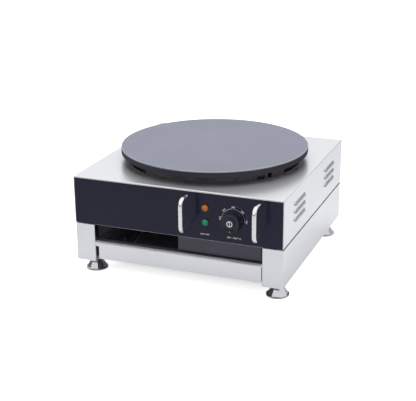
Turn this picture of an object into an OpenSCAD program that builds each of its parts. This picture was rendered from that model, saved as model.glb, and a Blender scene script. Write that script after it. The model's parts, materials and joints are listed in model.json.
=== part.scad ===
// Electric crepe maker: a cast griddle over a folded stainless casing, on two
// leg frames with a pull-out tray between them and four levelling feet.
// The front faces -Y, the right side is +X and the feet stand on z = 0.

/* [Casing] */
// Width over the side walls
casing_w = 450; // [430:1:540]
// Depth from the front lip to the rear lip
casing_d = 442; // [430:1:540]
// Height from the casing floor's upper face to the deck
casing_h = 100.5; // [92:0.5:125]
// Thickness of the stainless sheet
sheet = 1.2; // [1:0.1:1.5]
// Outside radius of the folds along the deck
fold_r = 2; // [1.6:0.1:3]
// Height of the lip that hangs in front of the fascia
lip_h = 3.2; // [2.5:0.1:5]
// Width of the inward flanges along the side walls
flange_w = 12; // [10:0.5:15]
// Thickness of the casing floor, which shows as the seam above the legs
floor_t = 1.5; // [1:0.1:2.5]

/* [Legs] */
// Height of the leg frames
leg_h = 81; // [70:1:110]
// Width of each leg as seen from the front
leg_w = 43; // [40:1:60]
// Depth of the return behind each leg's inner edge
leg_return = 18; // [18:1:30]
// Height of the leg frames above the table
foot_clear = 32; // [30:1:45]
// Distance from the side wall to the centre of a foot
foot_side = 23; // [20:0.5:25]
// Distance from the front or rear to the centre of a foot
foot_end = 42.5; // [35:0.5:50]
// Diameter of the round flange under each foot
foot_flange_d = 47; // [40:1:55]
// Radius of the threaded stud of each foot
stud_r = 5; // [4:0.5:6]

/* [Griddle] */
// Diameter of the griddle
plate_d = 400; // [330:1:440]
// Height of the griddle's rim
plate_rim_h = 14; // [12:0.5:18]
// Thickness of the griddle between its ribs
plate_web = 7; // [6:0.5:10]
// Radial width of the griddle's rim
plate_rim_w = 18; // [16:0.5:24]
// Height of the griddle's rim above the deck
plate_lift = 17; // [12:0.5:24]
// Diameter of the tubular heating elements
element_d = 8.5; // [6.5:0.1:10]
// Radius of the inner heating loop
inner_loop_r = 66; // [64:1:72]
// Thickness of the insulation under the elements
insulation_t = 20; // [14:1:24]

/* [Controls] */
// Thickness of the black fascia
fascia_t = 1.5; // [1:0.1:3]
// Distance of the knob to the right of the middle
knob_x = 122; // [100:1:130]
// Distance of the knob below the deck
knob_drop = 53; // [48:0.5:58]
// Diameter of the knob at the fascia
knob_d = 43; // [38:1:46]
// Distance from the fascia to the knob's face
knob_h = 20; // [17:0.5:26]
// Distance of the pilot lamps to the right of the middle
lamp_x = 64; // [56:1:76]
// Distance of the amber lamp below the deck
amber_drop = 34; // [28:0.5:40]
// Distance of the green lamp below the deck
green_drop = 64; // [58:0.5:72]
// Distance of the left handle to the right of the middle
left_handle_x = 30; // [20:1:40]
// Distance of the right handle to the right of the middle
right_handle_x = 180; // [165:1:195]
// Distance of the middle of the handles below the deck
handle_drop = 41.5; // [40:0.5:48]
// Distance between the two roots of a handle
handle_root_span = 58; // [50:1:64]
// Distance between the two bends of a handle, which flares outwards
handle_bar_span = 67; // [62:1:74]
// Distance from the fascia to the axis of a handle's bar
handle_reach = 45; // [35:1:55]
// Diameter of a handle's rod
handle_rod_d = 9; // [8:0.5:11]

/* [Louvres] */
// Length of a louvre over its round ends
louvre_len = 75; // [50:1:84]
// Number of louvres in a group
louvre_rows = 3; // [2:1:4]
// Distance between louvres
louvre_pitch = 16.8; // [15:0.1:19]
// Distance from the deck to the open edge of the top louvre
louvre_drop = 34; // [26:0.5:36]
// Distance from the middle of a side wall to each group
louvre_offset = 113; // [95:1:116]
// How far a louvre stands out of the wall
louvre_out = 3.5; // [2.5:0.1:4]

/* [Tray] */
// Depth of the tray's pan
tray_h = 41; // [25:1:42]
// Gap between the casing floor and the tray's lip
tray_gap = 37; // [33:1:38]
// Gap between each side of the pan and the leg beside it
tray_side_gap = 5.4; // [5.2:0.1:8]
// Thickness of the tray's sheet
tray_t = 1; // [0.8:0.1:1.2]
// Gap between each end of the tray's front plate and the leg beside it
tray_front_gap = 3.8; // [3:0.1:5]
// Distance from the front of the legs back to the tray's front plate
tray_recess = 8.5; // [6:0.5:9.5]
// Height of the grip that hangs along the top of the tray's front plate
tray_grip_h = 7.5; // [6:0.5:12]
// How far the grip stands in front of the plate
tray_grip_out = 11.5; // [8:0.5:14]

/* [Rear] */
// Radius of the bore of the cord inlet
gland_bore_r = 5.5; // [4:0.1:6.5]
// Distance of the cord inlet to the left of the middle
gland_x = 150; // [120:1:160]
// Height of the cord inlet above the casing floor
gland_up = 30; // [24:1:40]
// How far the cord inlet stands out of the rear panel
gland_out = 22; // [16:1:26]

/* [Hidden] */
$fn = 48;

// Levels above the table
leg_top = foot_clear + leg_h;
floor_top = leg_top + floor_t;
deck = floor_top + casing_h;
deck_under = deck - sheet;
rim_bottom = deck + plate_lift;
plate_top = rim_bottom + plate_rim_h;
web_bottom = plate_top - plate_web;
element_z = web_bottom - element_d / 2;
clamp_t = 1.5;
clamp_top = web_bottom - element_d;
clamp_bottom = clamp_top - clamp_t;
pan_floor_top = clamp_bottom - insulation_t;
pan_floor = pan_floor_top - sheet;

// Plan sizes, measured from the middle of the casing
half_w = casing_w / 2;
half_d = casing_d / 2;
inner_w = half_w - sheet;
leg_inner = half_w - leg_w;
fascia_y = -half_d + sheet;
backing_y = fascia_y + fascia_t;
backing_back = backing_y + sheet;
panel_back = half_d - sheet;
panel_inner = panel_back - sheet;
side_gap = 0.4;
hood_r = 10.5;

// The part's origin is under the middle of its own box, handles included
front_reach = handle_reach + handle_rod_d / 2 - fascia_y;
rear_reach = panel_back + gland_out;
body_y = (front_reach - rear_reach) / 2;

// Griddle and heating stack
plate_r = plate_d / 2;
rim_inner_r = plate_r - plate_rim_w;
skirt_r = rim_inner_r + 4;
pan_r = rim_inner_r - 12;
deck_hole_r = pan_r + 2;
outer_loop_r = pan_r - 16;
middle_loop_r = (outer_loop_r + inner_loop_r) / 2;
loop_radii = [inner_loop_r, middle_loop_r, outer_loop_r];
rib_radii = [(inner_loop_r + middle_loop_r) / 2, (middle_loop_r + outer_loop_r) / 2];
plate_edge_r = 1.5;
rim_edge_r = 1;
rib_w = 6;
rib_drop = 1.5;
pan_corner_r = 3;
griddle_stud_r = 3;
stud_tail = 10;
stud_bite = 6;
boss_r = 8;
griddle_nut_r = 5.8;
griddle_nut_h = 5;
clamp_hole_r = 18;
bar_y = 85;
griddle_stud_x = sqrt(pow(rib_radii[1], 2) - pow(bar_y, 2));
griddle_stud_spots = [for (sx = [-1, 1], sy = [-1, 1]) [sx * griddle_stud_x, sy * bar_y]];
terminal_y = 12;
terminal_r = 2;
terminal_drop = 14;
sleeve_r = element_d / 2 + 0.6;
sleeve_drop = 6;
passage_r = sleeve_r + 1.2;
bar_w = 25;
bar_t = 3;
bar_under = pan_floor - bar_t;
bar_end = deck_hole_r + 32;
bar_step = 10;
bar_stud_r = 2.5;
bar_stud_len = 12;
bar_nut_r = 4.6;
bar_nut_h = 4;
bulb_r = 3;
bulb_len = 50;
bulb_x = 50;
bulb_z = web_bottom - bulb_r;
capillary_r = 1;
capillary_spot = [46, -31];

// Skirt windows as [middle, width] in degrees; each comes again half a turn on
skirt_windows = [[-138, 40], [-39.2, 5.5], [-32.5, 3], [-9, 22]];
window_sill = 2.4;
window_head = 2;

// Controls
knob_z = deck - knob_drop;
shaft_r = 3;
running_gap = 0.05;
screw_r = 2;
screw_gap = 0.2;
head_sink = 0.2;
thermostat_w = 44;
thermostat_depth = 30;
thermostat_screw_x = 14;
thermostat_back = backing_back + thermostat_depth;
bush_r = 4.8;
knob_lift = 1;
knob_narrowing = 2.3;
knob_face_r = knob_d / 2 - knob_narrowing;
knob_edge_r = 1.2;
knob_base_h = 3.8;
knob_chamfer = 0.6;
knob_dish = 0.9;
groove_r = 0.9;
groove_depth = 0.45;
groove_count = 30;
pointer_w = 1.6;
pointer_len = 5;
hub_r = 10.9;
hub_rise = 1.2;
hub_top = knob_h + hub_rise;
insert_r = 6.8;
insert_sunk = 1.2;
insert_proud = 0.4;
insert_slot_len = 5.6;
insert_slot_r = 1;
insert_slot_x = 2.3;
shaft_end = knob_h - 7;
lens_r = 7.8;
lens_seat_h = 1.8;
crown_h = 3.6;
lamp_len = 26;
lamp_nut_r = 8;
lamp_nut_h = 4;
handle_z = deck - handle_drop;
handle_bend_r = 12;
bend_swell = 0.04;
bend_lap = 0.4;
lamp_barrel_r = 5;

// Legs, feet and tray
foot_x = half_w - foot_side;
foot_y = half_d - foot_end;
gusset_t = 3;
gusset_len = foot_end + 27;
weld_gap = 0.3;
gusset_bottom = foot_clear + sheet;
gusset_top = gusset_bottom + gusset_t;
weld_nut_h = 8;
foot_flange_h = 3;
foot_cone_h = 21;
foot_cone_r = foot_flange_d / 2 - 1.5;
foot_cone_top_r = 11.5;
stud_end = gusset_top + weld_nut_h + 10;
pan_half_w = leg_inner - tray_side_gap;
tray_top = leg_top - tray_gap;
tray_rim = tray_top - 1;
tray_bottom = tray_top - tray_h;
tray_front_y = -half_d + tray_recess;
tray_pan_y = tray_front_y + sheet;
tray_shelf_w = 14;
tray_grip_gap = 2.5;
grip_half_w = leg_inner - tray_grip_gap;
plate_half_w = leg_inner - tray_front_gap;
tray_back_y = half_d - 30;
tray_ledge_gap = 0.3;
runner_h = 14;
runner_y0 = tray_pan_y + 0.5;
runner_y1 = panel_inner - 0.4;
rivet_r = 1.6;
rivet_ys = [runner_y0 + 3.8, half_d - leg_return + 6];
floor_inset = 2;
fascia_bottom = leg_top + 1.2;
vent_len = 44;
vent_r = 3;
rear_vent_xs = [20 : 24 : 164];
floor_screw_x = inner_w - flange_w / 2;
floor_screw_ys = [for (k = [-1.5 : 1.5]) k * (casing_d - 70) / 3];
fascia_screw_xs = [-152, 0, 152];
rear_screw_xs = [-150, -50, 50, 150];
rear_screw_z = deck - flange_w / 2 - 1;
screw_len = 7;
fascia_screw_y = backing_y + 6.5;
cover_w = leg_inner - 6;
cover_y0 = fascia_screw_y + 2 * screw_r + 0.3;
cover_y1 = cover_y0 + 115;
cover_bottom = tray_top + 3;
cover_flange = 10;
cover_screw_spots = [[-cover_flange / 2, cover_y0 + 20], [-cover_flange / 2, cover_y1 - 20],
                     [30, cover_y1 + cover_flange / 2], [cover_w - 30, cover_y1 + cover_flange / 2]];
block_y = half_d - 62;
block_size = [64, 28, 22];
block_way = 12;
cutout_spot = [-100, -112];
cutout_size = [36, 36, 24];
cutout_cap_r = 11;
cutout_cap_h = 5;
wire_r = 1.6;

// Cord inlet and bonding stud on the rear
gland_z = floor_top + gland_up;
gland_thread_r = gland_bore_r + 2.5;
gland_body_r = gland_thread_r + 3;
gland_inside = 13;
bond_x = gland_x - 40;
bond_r = 2.5;
bond_out = 16;
bond_in = 12;
bond_nut_r = 4.8;
bond_nut_h = 4;

module at_body() translate([0, body_y, 0]) children();

module both_sides() for (s = [0, 1]) mirror([s, 0, 0]) children();

// A flat rectangle with true round corners, centred
module round_rect(w, h, r) {
    square([w - 2 * r, h], center = true);
    square([w, h - 2 * r], center = true);
    for (sx = [-1, 1], sy = [-1, 1])
        translate([sx * (w / 2 - r), sy * (h / 2 - r)]) circle(r);
}

// A flat slot with half-round ends along X, centred
module slot(len, r) {
    square([len - 2 * r, 2 * r], center = true);
    for (s = [-1, 1]) translate([s * (len / 2 - r), 0]) circle(r);
}

// Everything inside stands out of the fascia: its z runs forwards
module on_fascia(x, z) at_body() translate([x, fascia_y, z]) rotate([90, 0, 0]) children();

// Everything inside stands out of the rear panel: its z runs backwards
module on_rear(x, z) at_body() translate([x, panel_back, z]) rotate([-90, 0, 0]) children();

// A hexagonal nut with its bore, from z = 0 up
module nut(across_r, bore_r, h) difference() {
    cylinder(r = across_r, h = h, $fn = 6);
    translate([0, 0, -1]) cylinder(r = bore_r, h = h + 2);
}

// A screw with a pan head above z = 0 and its shank below
module pan_screw(r, len) {
    translate([0, 0, -len]) cylinder(r = r, h = len);
    rotate_extrude() {
        square([1.9 * r, 0.6 * r]);
        intersection() {
            square([1.9 * r, 1.2 * r]);
            translate([0, -2.05 * r]) scale(r) circle(3.2, $fn = 96);
        }
    }
}

function bend(a, b, c, d, n) = [for (i = [0 : n])
    let (t = i / n, s = 1 - t)
    s * s * s * a + 3 * s * s * t * b + 3 * s * t * t * c + t * t * t * d];

// A round tube with closed ends swept along a list of points
module swept_tube(path, r, sides) {
    n = len(path);
    side_hint = [0.8, 0.5, 0.33];
    points = [for (i = [0 : n - 1])
        let (
            ahead = path[min(i + 1, n - 1)] - path[max(i - 1, 0)],
            along = ahead / norm(ahead),
            across = cross(along, side_hint) / norm(cross(along, side_hint)),
            up = cross(along, across)
        )
        for (k = [0 : sides - 1])
            path[i] + r * (cos(360 * k / sides) * across + sin(360 * k / sides) * up)];
    walls = [for (i = [0 : n - 2], k = [0 : sides - 1])
        let (m = (k + 1) % sides)
        [i * sides + k, (i + 1) * sides + k, (i + 1) * sides + m, i * sides + m]];
    start_cap = [[for (k = [0 : sides - 1]) k]];
    end_cap = [[for (k = [sides - 1 : -1 : 0]) (n - 1) * sides + k]];
    polyhedron(points, concat(walls, start_cap, end_cap));
}

// ---------------------------------------------------------------- griddle

module griddle_profile() {
    // web with a softly rounded upper edge
    translate([0, web_bottom]) square([plate_r - plate_edge_r, plate_web]);
    translate([0, web_bottom]) square([plate_r, plate_web - plate_edge_r]);
    translate([plate_r - plate_edge_r, plate_top - plate_edge_r]) circle(plate_edge_r);
    // rim with a small lower round
    translate([rim_inner_r, rim_bottom])
        square([plate_rim_w - rim_edge_r, plate_rim_h - plate_web + rim_edge_r]);
    translate([rim_inner_r, rim_bottom + rim_edge_r]) square([plate_rim_w, plate_rim_h - plate_web]);
    translate([plate_r - rim_edge_r, rim_bottom + rim_edge_r]) circle(rim_edge_r);
    // rings between the heating loops
    for (r = rib_radii)
        translate([r - rib_w / 2, clamp_top + rib_drop]) square([rib_w, element_d]);
}

module griddle_plate() at_body() color([0.36, 0.36, 0.39]) difference() {
    union() {
        rotate_extrude($fn = 180) griddle_profile();
        for (p = griddle_stud_spots)
            translate([p[0], p[1], clamp_top]) cylinder(r = boss_r, h = element_d + 1);
    }
    for (p = griddle_stud_spots)
        translate([p[0], p[1], clamp_top - 1]) cylinder(r = griddle_stud_r, h = stud_bite + 2);
}

// A tubular loop whose two ends are brazed into upright sleeves on the left
module heating_loop(r) at_body() color([0.3, 0.29, 0.28]) {
    gap = asin(terminal_y / r);
    sleeve_bottom = pan_floor - sleeve_drop;
    translate([0, 0, element_z]) rotate([0, 0, 180 + gap])
        rotate_extrude(angle = 360 - 2 * gap) translate([r, 0]) circle(element_d / 2);
    for (s = [-1, 1]) translate([-r * cos(gap), s * terminal_y, 0]) {
        translate([0, 0, sleeve_bottom]) cylinder(r = sleeve_r, h = web_bottom - 1 - sleeve_bottom);
        translate([0, 0, sleeve_bottom - terminal_drop]) cylinder(r = terminal_r, h = terminal_drop + 1);
    }
}

module heating_element_inner() heating_loop(loop_radii[0]);
module heating_element_middle() heating_loop(loop_radii[1]);
module heating_element_outer() heating_loop(loop_radii[2]);

// Holes through the stack for studs, element ends and capillary tubes
module stack_holes(stud_hole_r, z0, z1) {
    for (p = griddle_stud_spots)
        translate([p[0], p[1], z0]) cylinder(r = stud_hole_r, h = z1 - z0);
    for (r = loop_radii, s = [-1, 1])
        translate([-sqrt(r * r - terminal_y * terminal_y), s * terminal_y, z0])
            cylinder(r = passage_r, h = z1 - z0);
    for (s = [-1, 1])
        translate([s * capillary_spot[0], capillary_spot[1], z0]) cylinder(r = passage_r, h = z1 - z0);
}

module element_clamp() at_body() color([0.62, 0.62, 0.6]) difference() {
    translate([0, 0, clamp_bottom]) cylinder(r = pan_r - 3, h = clamp_t, $fn = 120);
    stack_holes(griddle_stud_r + screw_gap, clamp_bottom - 1, clamp_top + 1);
    translate([0, 0, clamp_bottom - 1]) cylinder(r = clamp_hole_r, h = clamp_t + 2);
    // windows between the loops make the disc light
    for (k = [0 : 7], r = rib_radii) rotate([0, 0, 22.5 + 45 * k])
        translate([r, 0, clamp_bottom - 1]) linear_extrude(clamp_t + 2) slot(12, 3);
}

module insulation_pad() at_body() color([0.86, 0.84, 0.78]) difference() {
    translate([0, 0, pan_floor_top]) cylinder(r = pan_r - pan_corner_r, h = insulation_t, $fn = 120);
    stack_holes(griddle_stud_r + 0.6, pan_floor_top - 1, clamp_bottom + 1);
}

module heat_pan() at_body() color([0.5, 0.5, 0.5]) difference() {
    rotate_extrude($fn = 180) {
        translate([0, pan_floor]) square([pan_r - pan_corner_r, sheet]);
        translate([pan_r - sheet, pan_floor + pan_corner_r])
            square([sheet, clamp_bottom - pan_floor - pan_corner_r]);
        // pressed corner
        translate([pan_r - pan_corner_r, pan_floor]) intersection() {
            square(pan_corner_r);
            translate([0, pan_corner_r]) difference() {
                circle(pan_corner_r);
                circle(pan_corner_r - sheet);
            }
        }
    }
    stack_holes(griddle_stud_r + screw_gap, pan_floor - 1, pan_floor_top + 1);
}

// One window: a sector of the skirt with its own clear height
module skirt_window(middle, width) rotate([0, 0, middle - width / 2])
    rotate_extrude(angle = width, $fn = 180)
        translate([skirt_r - 4, deck + window_sill]) square([8, plate_lift - window_sill - window_head]);

module skirt_ring() at_body() color([0.24, 0.23, 0.24]) difference() {
    rotate_extrude($fn = 180) {
        translate([deck_hole_r - 0.5, deck]) square([skirt_r - deck_hole_r + 0.5, sheet]);
        translate([skirt_r - sheet, deck]) square([sheet, plate_lift]);
    }
    for (side = [0, 180], w = skirt_windows) rotate([0, 0, side]) skirt_window(w[0], w[1]);
}

// ------------------------------------------------------- griddle fixings

module griddle_studs() at_body() color("silver") for (p = griddle_stud_spots)
    translate([p[0], p[1], bar_under - stud_tail])
        cylinder(r = griddle_stud_r, h = clamp_top + stud_bite - bar_under + stud_tail);

module griddle_nuts() at_body() color("silver") for (p = griddle_stud_spots)
    translate([p[0], p[1], bar_under - griddle_nut_h]) nut(griddle_nut_r, griddle_stud_r, griddle_nut_h);

// A flat bar with its ends stepped up to the underside of the deck
module bar_profile() {
    low = deck_hole_r + 2;
    high = low + bar_step;
    polygon([[-bar_end, deck_under], [-bar_end, deck_under - bar_t],
        [-high, deck_under - bar_t], [-low, bar_under], [low, bar_under],
        [high, deck_under - bar_t], [bar_end, deck_under - bar_t], [bar_end, deck_under],
        [high, deck_under], [low, pan_floor], [-low, pan_floor], [-high, deck_under]]);
}

module support_bars() at_body() color([0.6, 0.6, 0.58]) difference() {
    for (s = [-1, 1]) translate([0, s * bar_y + bar_w / 2, 0])
        rotate([90, 0, 0]) linear_extrude(bar_w) bar_profile();
    for (p = griddle_stud_spots)
        translate([p[0], p[1], bar_under - 1]) cylinder(r = griddle_stud_r + screw_gap, h = bar_t + 2);
    for (sx = [-1, 1], sy = [-1, 1])
        translate([sx * (bar_end - bar_step), sy * bar_y, deck_under - bar_t - 1])
            cylinder(r = bar_stud_r + screw_gap, h = bar_t + 2);
}

module bar_fixings() at_body() color("silver") for (sx = [-1, 1], sy = [-1, 1])
    translate([sx * (bar_end - bar_step), sy * bar_y, deck_under]) {
        translate([0, 0, -bar_stud_len]) cylinder(r = bar_stud_r, h = bar_stud_len);
        translate([0, 0, -bar_t - bar_nut_h]) cylinder(r = bar_nut_r, h = bar_nut_h, $fn = 6);
    }

// ----------------------------------------------------------------- casing

// Deck, side walls and their inward flanges in one folded section
module shell_section() difference() {
    round_rect(casing_w, casing_h, fold_r);
    round_rect(casing_w - 2 * sheet, casing_h - 2 * sheet, fold_r - sheet);
    translate([0, -casing_h / 2]) square([2 * (inner_w - flange_w), 4 * sheet], center = true);
}

// A bar with ball ends, of which the outermost slice is the bulge of one louvre
module louvre_bulge(r) {
    run = louvre_len - 2 * sqrt(pow(hood_r, 2) - pow(hood_r - louvre_out, 2));
    translate([half_w + louvre_out - hood_r, 0, 0]) rotate([90, 0, 0])
        rotate_extrude() intersection() {
            union() {
                translate([0, -run / 2]) square([r, run]);
                for (s = [-1, 1]) translate([0, s * run / 2]) circle(r);
            }
            translate([0, -run]) square([2 * r, 2 * run]);
        }
}

module at_louvres() {
    for (s = [-1, 1], k = [0 : louvre_rows - 1])
        translate([0, s * louvre_offset, deck - louvre_drop - k * louvre_pitch]) children();
}

// Keeps the upper half of a bulge, from the plane x = x0 outwards
module above_slot(x0) intersection() {
    children();
    translate([x0, -casing_d / 2, 0]) cube([20, casing_d, 20]);
}

module casing_shell() at_body() color([0.9, 0.9, 0.92]) difference() {
    union() {
        translate([0, 0, floor_top + casing_h / 2])
            rotate([90, 0, 0]) linear_extrude(casing_d, center = true) shell_section();
        // lips folded down in front of the fascia and over the rear panel
        translate([-inner_w - 0.1, -half_d, deck - lip_h])
            cube([2 * inner_w + 0.2, sheet, lip_h - sheet / 2]);
        translate([-inner_w - 0.1, panel_back, deck - flange_w])
            cube([2 * inner_w + 0.2, sheet, flange_w - sheet / 2]);
        both_sides() at_louvres() above_slot(half_w - sheet / 2) louvre_bulge(hood_r);
    }
    both_sides() at_louvres() above_slot(inner_w - 1) louvre_bulge(hood_r - sheet);
    // rounded front and rear edges of the deck
    for (s = [-1, 1]) translate([0, s * (half_d - fold_r), deck - fold_r]) difference() {
        translate([-half_w - 1, s < 0 ? -fold_r - 1 : 0, 0]) cube([casing_w + 2, fold_r + 1, fold_r + 1]);
        rotate([0, 90, 0]) cylinder(r = fold_r, h = casing_w + 4, center = true);
    }
    translate([0, 0, deck - 3]) cylinder(r = deck_hole_r, h = 6, $fn = 180);
    // the flanges along the side walls start behind the fascia
    translate([-inner_w, -half_d - 1, floor_top - 1])
        cube([2 * inner_w, backing_y + 0.2 + half_d + 1, sheet + 1.2]);
    both_sides() for (y = floor_screw_ys)
        translate([floor_screw_x, y, floor_top - 1]) cylinder(r = screw_r + screw_gap, h = 4);
    for (x = rear_screw_xs)
        translate([x, half_d + 1, rear_screw_z]) rotate([90, 0, 0]) cylinder(r = screw_r + screw_gap, h = 5);
}

module casing_floor() at_body() color([0.72, 0.72, 0.74]) translate([0, 0, leg_top])
    linear_extrude(floor_t) difference() {
        translate([-half_w + floor_inset, backing_y + 0.3])
            square([casing_w - 2 * floor_inset, half_d - floor_inset - backing_y - 0.3]);
        for (x = [-90 : 30 : 90], y = [-40, 20, 80])
            translate([x, y]) rotate(90) slot(vent_len, vent_r);
        for (s = [-1, 1], y = floor_screw_ys) translate([s * floor_screw_x, y]) circle(screw_r + screw_gap);
        for (x = fascia_screw_xs, s = [-1, 1])
            translate([x, s * fascia_screw_y]) circle(screw_r + screw_gap);
        for (p = cover_screw_spots) translate(p) circle(screw_r);
    }

// A panel with a foot flange that lies on the casing floor, outer face at y = 0
module footed_panel(foot) {
    translate([-inner_w + side_gap, 0, floor_top + sheet + side_gap])
        cube([2 * (inner_w - side_gap), sheet, deck_under - floor_top - sheet - 2 * side_gap]);
    translate([-inner_w + flange_w + 2, foot < 0 ? foot + sheet : 0, floor_top])
        cube([2 * (inner_w - flange_w - 2), abs(foot), sheet]);
    translate([-inner_w + flange_w + 2, 0, floor_top])
        cube([2 * (inner_w - flange_w - 2), sheet, 3 * sheet]);
}

module rear_panel() at_body() color([0.88, 0.88, 0.9]) difference() {
    translate([0, panel_inner, 0]) footed_panel(-13);
    for (x = fascia_screw_xs)
        translate([x, -fascia_screw_y, floor_top - 1]) cylinder(r = screw_r, h = 4);
    for (x = rear_screw_xs)
        translate([x, half_d + 1, rear_screw_z]) rotate([90, 0, 0]) cylinder(r = screw_r, h = 5);
    translate([-gland_x, half_d, gland_z]) rotate([90, 0, 0]) cylinder(r = gland_thread_r + screw_gap, h = 6);
    translate([-bond_x, half_d, gland_z]) rotate([90, 0, 0]) cylinder(r = bond_r + screw_gap, h = 6);
    for (x = rear_vent_xs) translate([x, half_d, floor_top + casing_h / 2])
        rotate([90, 0, 0]) linear_extrude(6) rotate(90) slot(vent_len, vent_r);
}

// Holes that the fascia and its backing share
module control_holes() {
    translate([knob_x, knob_z]) circle(bush_r + 0.3);
    for (s = [-1, 1]) translate([knob_x + s * thermostat_screw_x, knob_z]) circle(screw_r + screw_gap);
    for (drop = [amber_drop, green_drop]) translate([lamp_x, deck - drop]) circle(lamp_barrel_r + 0.1);
    for (x = [left_handle_x, right_handle_x], s = [-1, 1])
        translate([x, handle_z + s * handle_root_span / 2]) circle(screw_r + screw_gap);
}

module fascia_backing() at_body() color([0.75, 0.75, 0.77]) difference() {
    translate([0, backing_y, 0]) footed_panel(13);
    translate([0, backing_back + 1, 0]) rotate([90, 0, 0]) linear_extrude(sheet + 2) control_holes();
    for (x = fascia_screw_xs)
        translate([x, fascia_screw_y, floor_top - 1]) cylinder(r = screw_r, h = 4);
    translate([0, -body_y, 0]) at_thermostat_screws() sunk_head(screw_gap);
}

module fascia() at_body() color([0.13, 0.13, 0.16]) difference() {
    translate([-inner_w + side_gap, fascia_y, fascia_bottom])
        cube([2 * (inner_w - side_gap), fascia_t, deck_under - side_gap - fascia_bottom]);
    translate([0, fascia_y + fascia_t + 1, 0])
        rotate([90, 0, 0]) linear_extrude(fascia_t + 2) control_holes();
    translate([0, -body_y, 0]) at_thermostat_screws() sunk_head(screw_gap);
}

module at_thermostat_screws() for (s = [-1, 1])
    on_fascia(knob_x + s * thermostat_screw_x, knob_z) children();

// A countersunk head, or with some room around it the hole for one
module sunk_head(room) translate([0, 0, -head_sink - screw_r]) {
    cylinder(r1 = screw_r + room, r2 = 2 * screw_r + room, h = screw_r);
    if (room > 0) translate([0, 0, screw_r]) cylinder(r = 2 * screw_r + room, h = 1);
}

// Open-topped box under the right half of the floor, with two screwed flanges
module wiring_cover() at_body() color([0.3, 0.3, 0.33]) difference() {
    union() {
        translate([0, cover_y0, cover_bottom])
            cube([cover_w, cover_y1 - cover_y0, leg_top - cover_bottom]);
        translate([-cover_flange, cover_y0, leg_top - sheet])
            cube([cover_flange + 1, cover_y1 - cover_y0, sheet]);
        translate([0, cover_y1 - 1, leg_top - sheet]) cube([cover_w, cover_flange + 1, sheet]);
    }
    translate([sheet, cover_y0 + sheet, cover_bottom + sheet])
        cube([cover_w - 2 * sheet, cover_y1 - cover_y0 - 2 * sheet, leg_top]);
    for (p = cover_screw_spots)
        translate([p[0], p[1], leg_top - sheet - 1]) cylinder(r = screw_r + screw_gap, h = sheet + 2);
}

// ------------------------------------------------------------- leg frames

// Plan of a right-hand frame: side wall, front and rear leaves and their returns
module frame_plan() difference() {
    translate([half_w - leg_w / 2, 0]) round_rect(leg_w, casing_d, fold_r);
    translate([half_w - leg_w / 2, 0])
        round_rect(leg_w - 2 * sheet, casing_d - 2 * sheet, fold_r - sheet);
    translate([leg_inner, 0]) square([4 * sheet, casing_d - 2 * leg_return], center = true);
}

module side_frame() color([0.86, 0.86, 0.88]) {
    difference() {
        translate([0, 0, foot_clear]) linear_extrude(leg_h) frame_plan();
        at_rivets() cylinder(r = rivet_r, h = 4 * sheet);
    }
    // flanges along the top and bottom of the side wall
    for (z = [foot_clear, leg_top - sheet]) translate([inner_w - flange_w, -half_d + sheet / 2, z])
        difference() {
            cube([flange_w + sheet / 2, casing_d - sheet, sheet]);
            for (y = floor_screw_ys) translate([flange_w / 2, y + half_d - sheet / 2, -1])
                cylinder(r = screw_r, h = 4);
        }
}

module side_frame_right() at_body() side_frame();
module side_frame_left() at_body() mirror([1, 0, 0]) side_frame();

// Web between the rear legs with returns against them, below the runners
module rear_skirt() at_body() color([0.84, 0.84, 0.86]) {
    translate([-leg_inner, panel_inner, foot_clear]) cube([2 * leg_inner, sheet, leg_h]);
    both_sides() translate([leg_inner - sheet, panel_inner - leg_return + 4, foot_clear])
        cube([sheet, leg_return - 3, tray_rim - runner_h - 1 - foot_clear]);
    translate([-leg_inner, panel_inner - flange_w, leg_top - sheet]) difference() {
        cube([2 * leg_inner, flange_w + sheet / 2, sheet]);
        for (x = fascia_screw_xs)
            translate([leg_inner + x, flange_w - panel_inner - fascia_screw_y, -1])
                cylinder(r = screw_r + screw_gap, h = sheet + 2);
    }
}

module at_feet() for (sx = [-1, 1], sy = [-1, 1]) translate([sx * foot_x, sy * foot_y, 0]) children();

module foot_gussets() at_body() color([0.7, 0.7, 0.7]) for (sx = [0, 1], sy = [0, 1])
    mirror([sx, 0, 0]) mirror([0, sy, 0]) difference() {
        translate([leg_inner + sheet + weld_gap, half_d - sheet - weld_gap - gusset_len, gusset_bottom])
            cube([leg_w - 2 * (sheet + weld_gap), gusset_len, gusset_t]);
        translate([foot_x, foot_y, gusset_bottom - 1]) cylinder(r = stud_r + 0.5, h = gusset_t + 2);
    }

module weld_nuts() at_body() color([0.65, 0.65, 0.65]) at_feet()
    translate([0, 0, gusset_top]) nut(1.9 * stud_r, stud_r + running_gap, weld_nut_h);

// Ledge that carries the out-turned rim of the tray
module runner() color([0.7, 0.7, 0.72]) {
    translate([leg_inner - sheet, runner_y0, tray_rim - runner_h])
        cube([sheet, runner_y1 - runner_y0, runner_h]);
    translate([pan_half_w + 0.6, runner_y0, tray_rim - tray_t - tray_ledge_gap - sheet])
        cube([leg_inner - pan_half_w - 0.6, runner_y1 - runner_y0, sheet]);
}

// A runner with its rivet holes
module drilled_runner() difference() {
    runner();
    at_rivets() translate([0, 0, -2 * sheet]) cylinder(r = rivet_r, h = 4 * sheet);
}

module runner_right() at_body() drilled_runner();
module runner_left() at_body() mirror([1, 0, 0]) drilled_runner();

module at_rivets() for (y = rivet_ys)
    translate([leg_inner, y, tray_rim - runner_h / 2 - 2]) rotate([0, 90, 0]) children();

module runner_rivets() at_body() color("silver") both_sides() at_rivets() {
    translate([0, 0, -sheet]) cylinder(r = rivet_r, h = 2 * sheet + 0.5);
    translate([0, 0, sheet]) cylinder(r = 1.9 * rivet_r, h = 1);
}

// ---------------------------------------------------------------- screws

module floor_screws() at_body() color("silver") both_sides() for (y = floor_screw_ys)
    translate([floor_screw_x, y, floor_top + sheet]) pan_screw(screw_r, screw_len);

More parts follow.
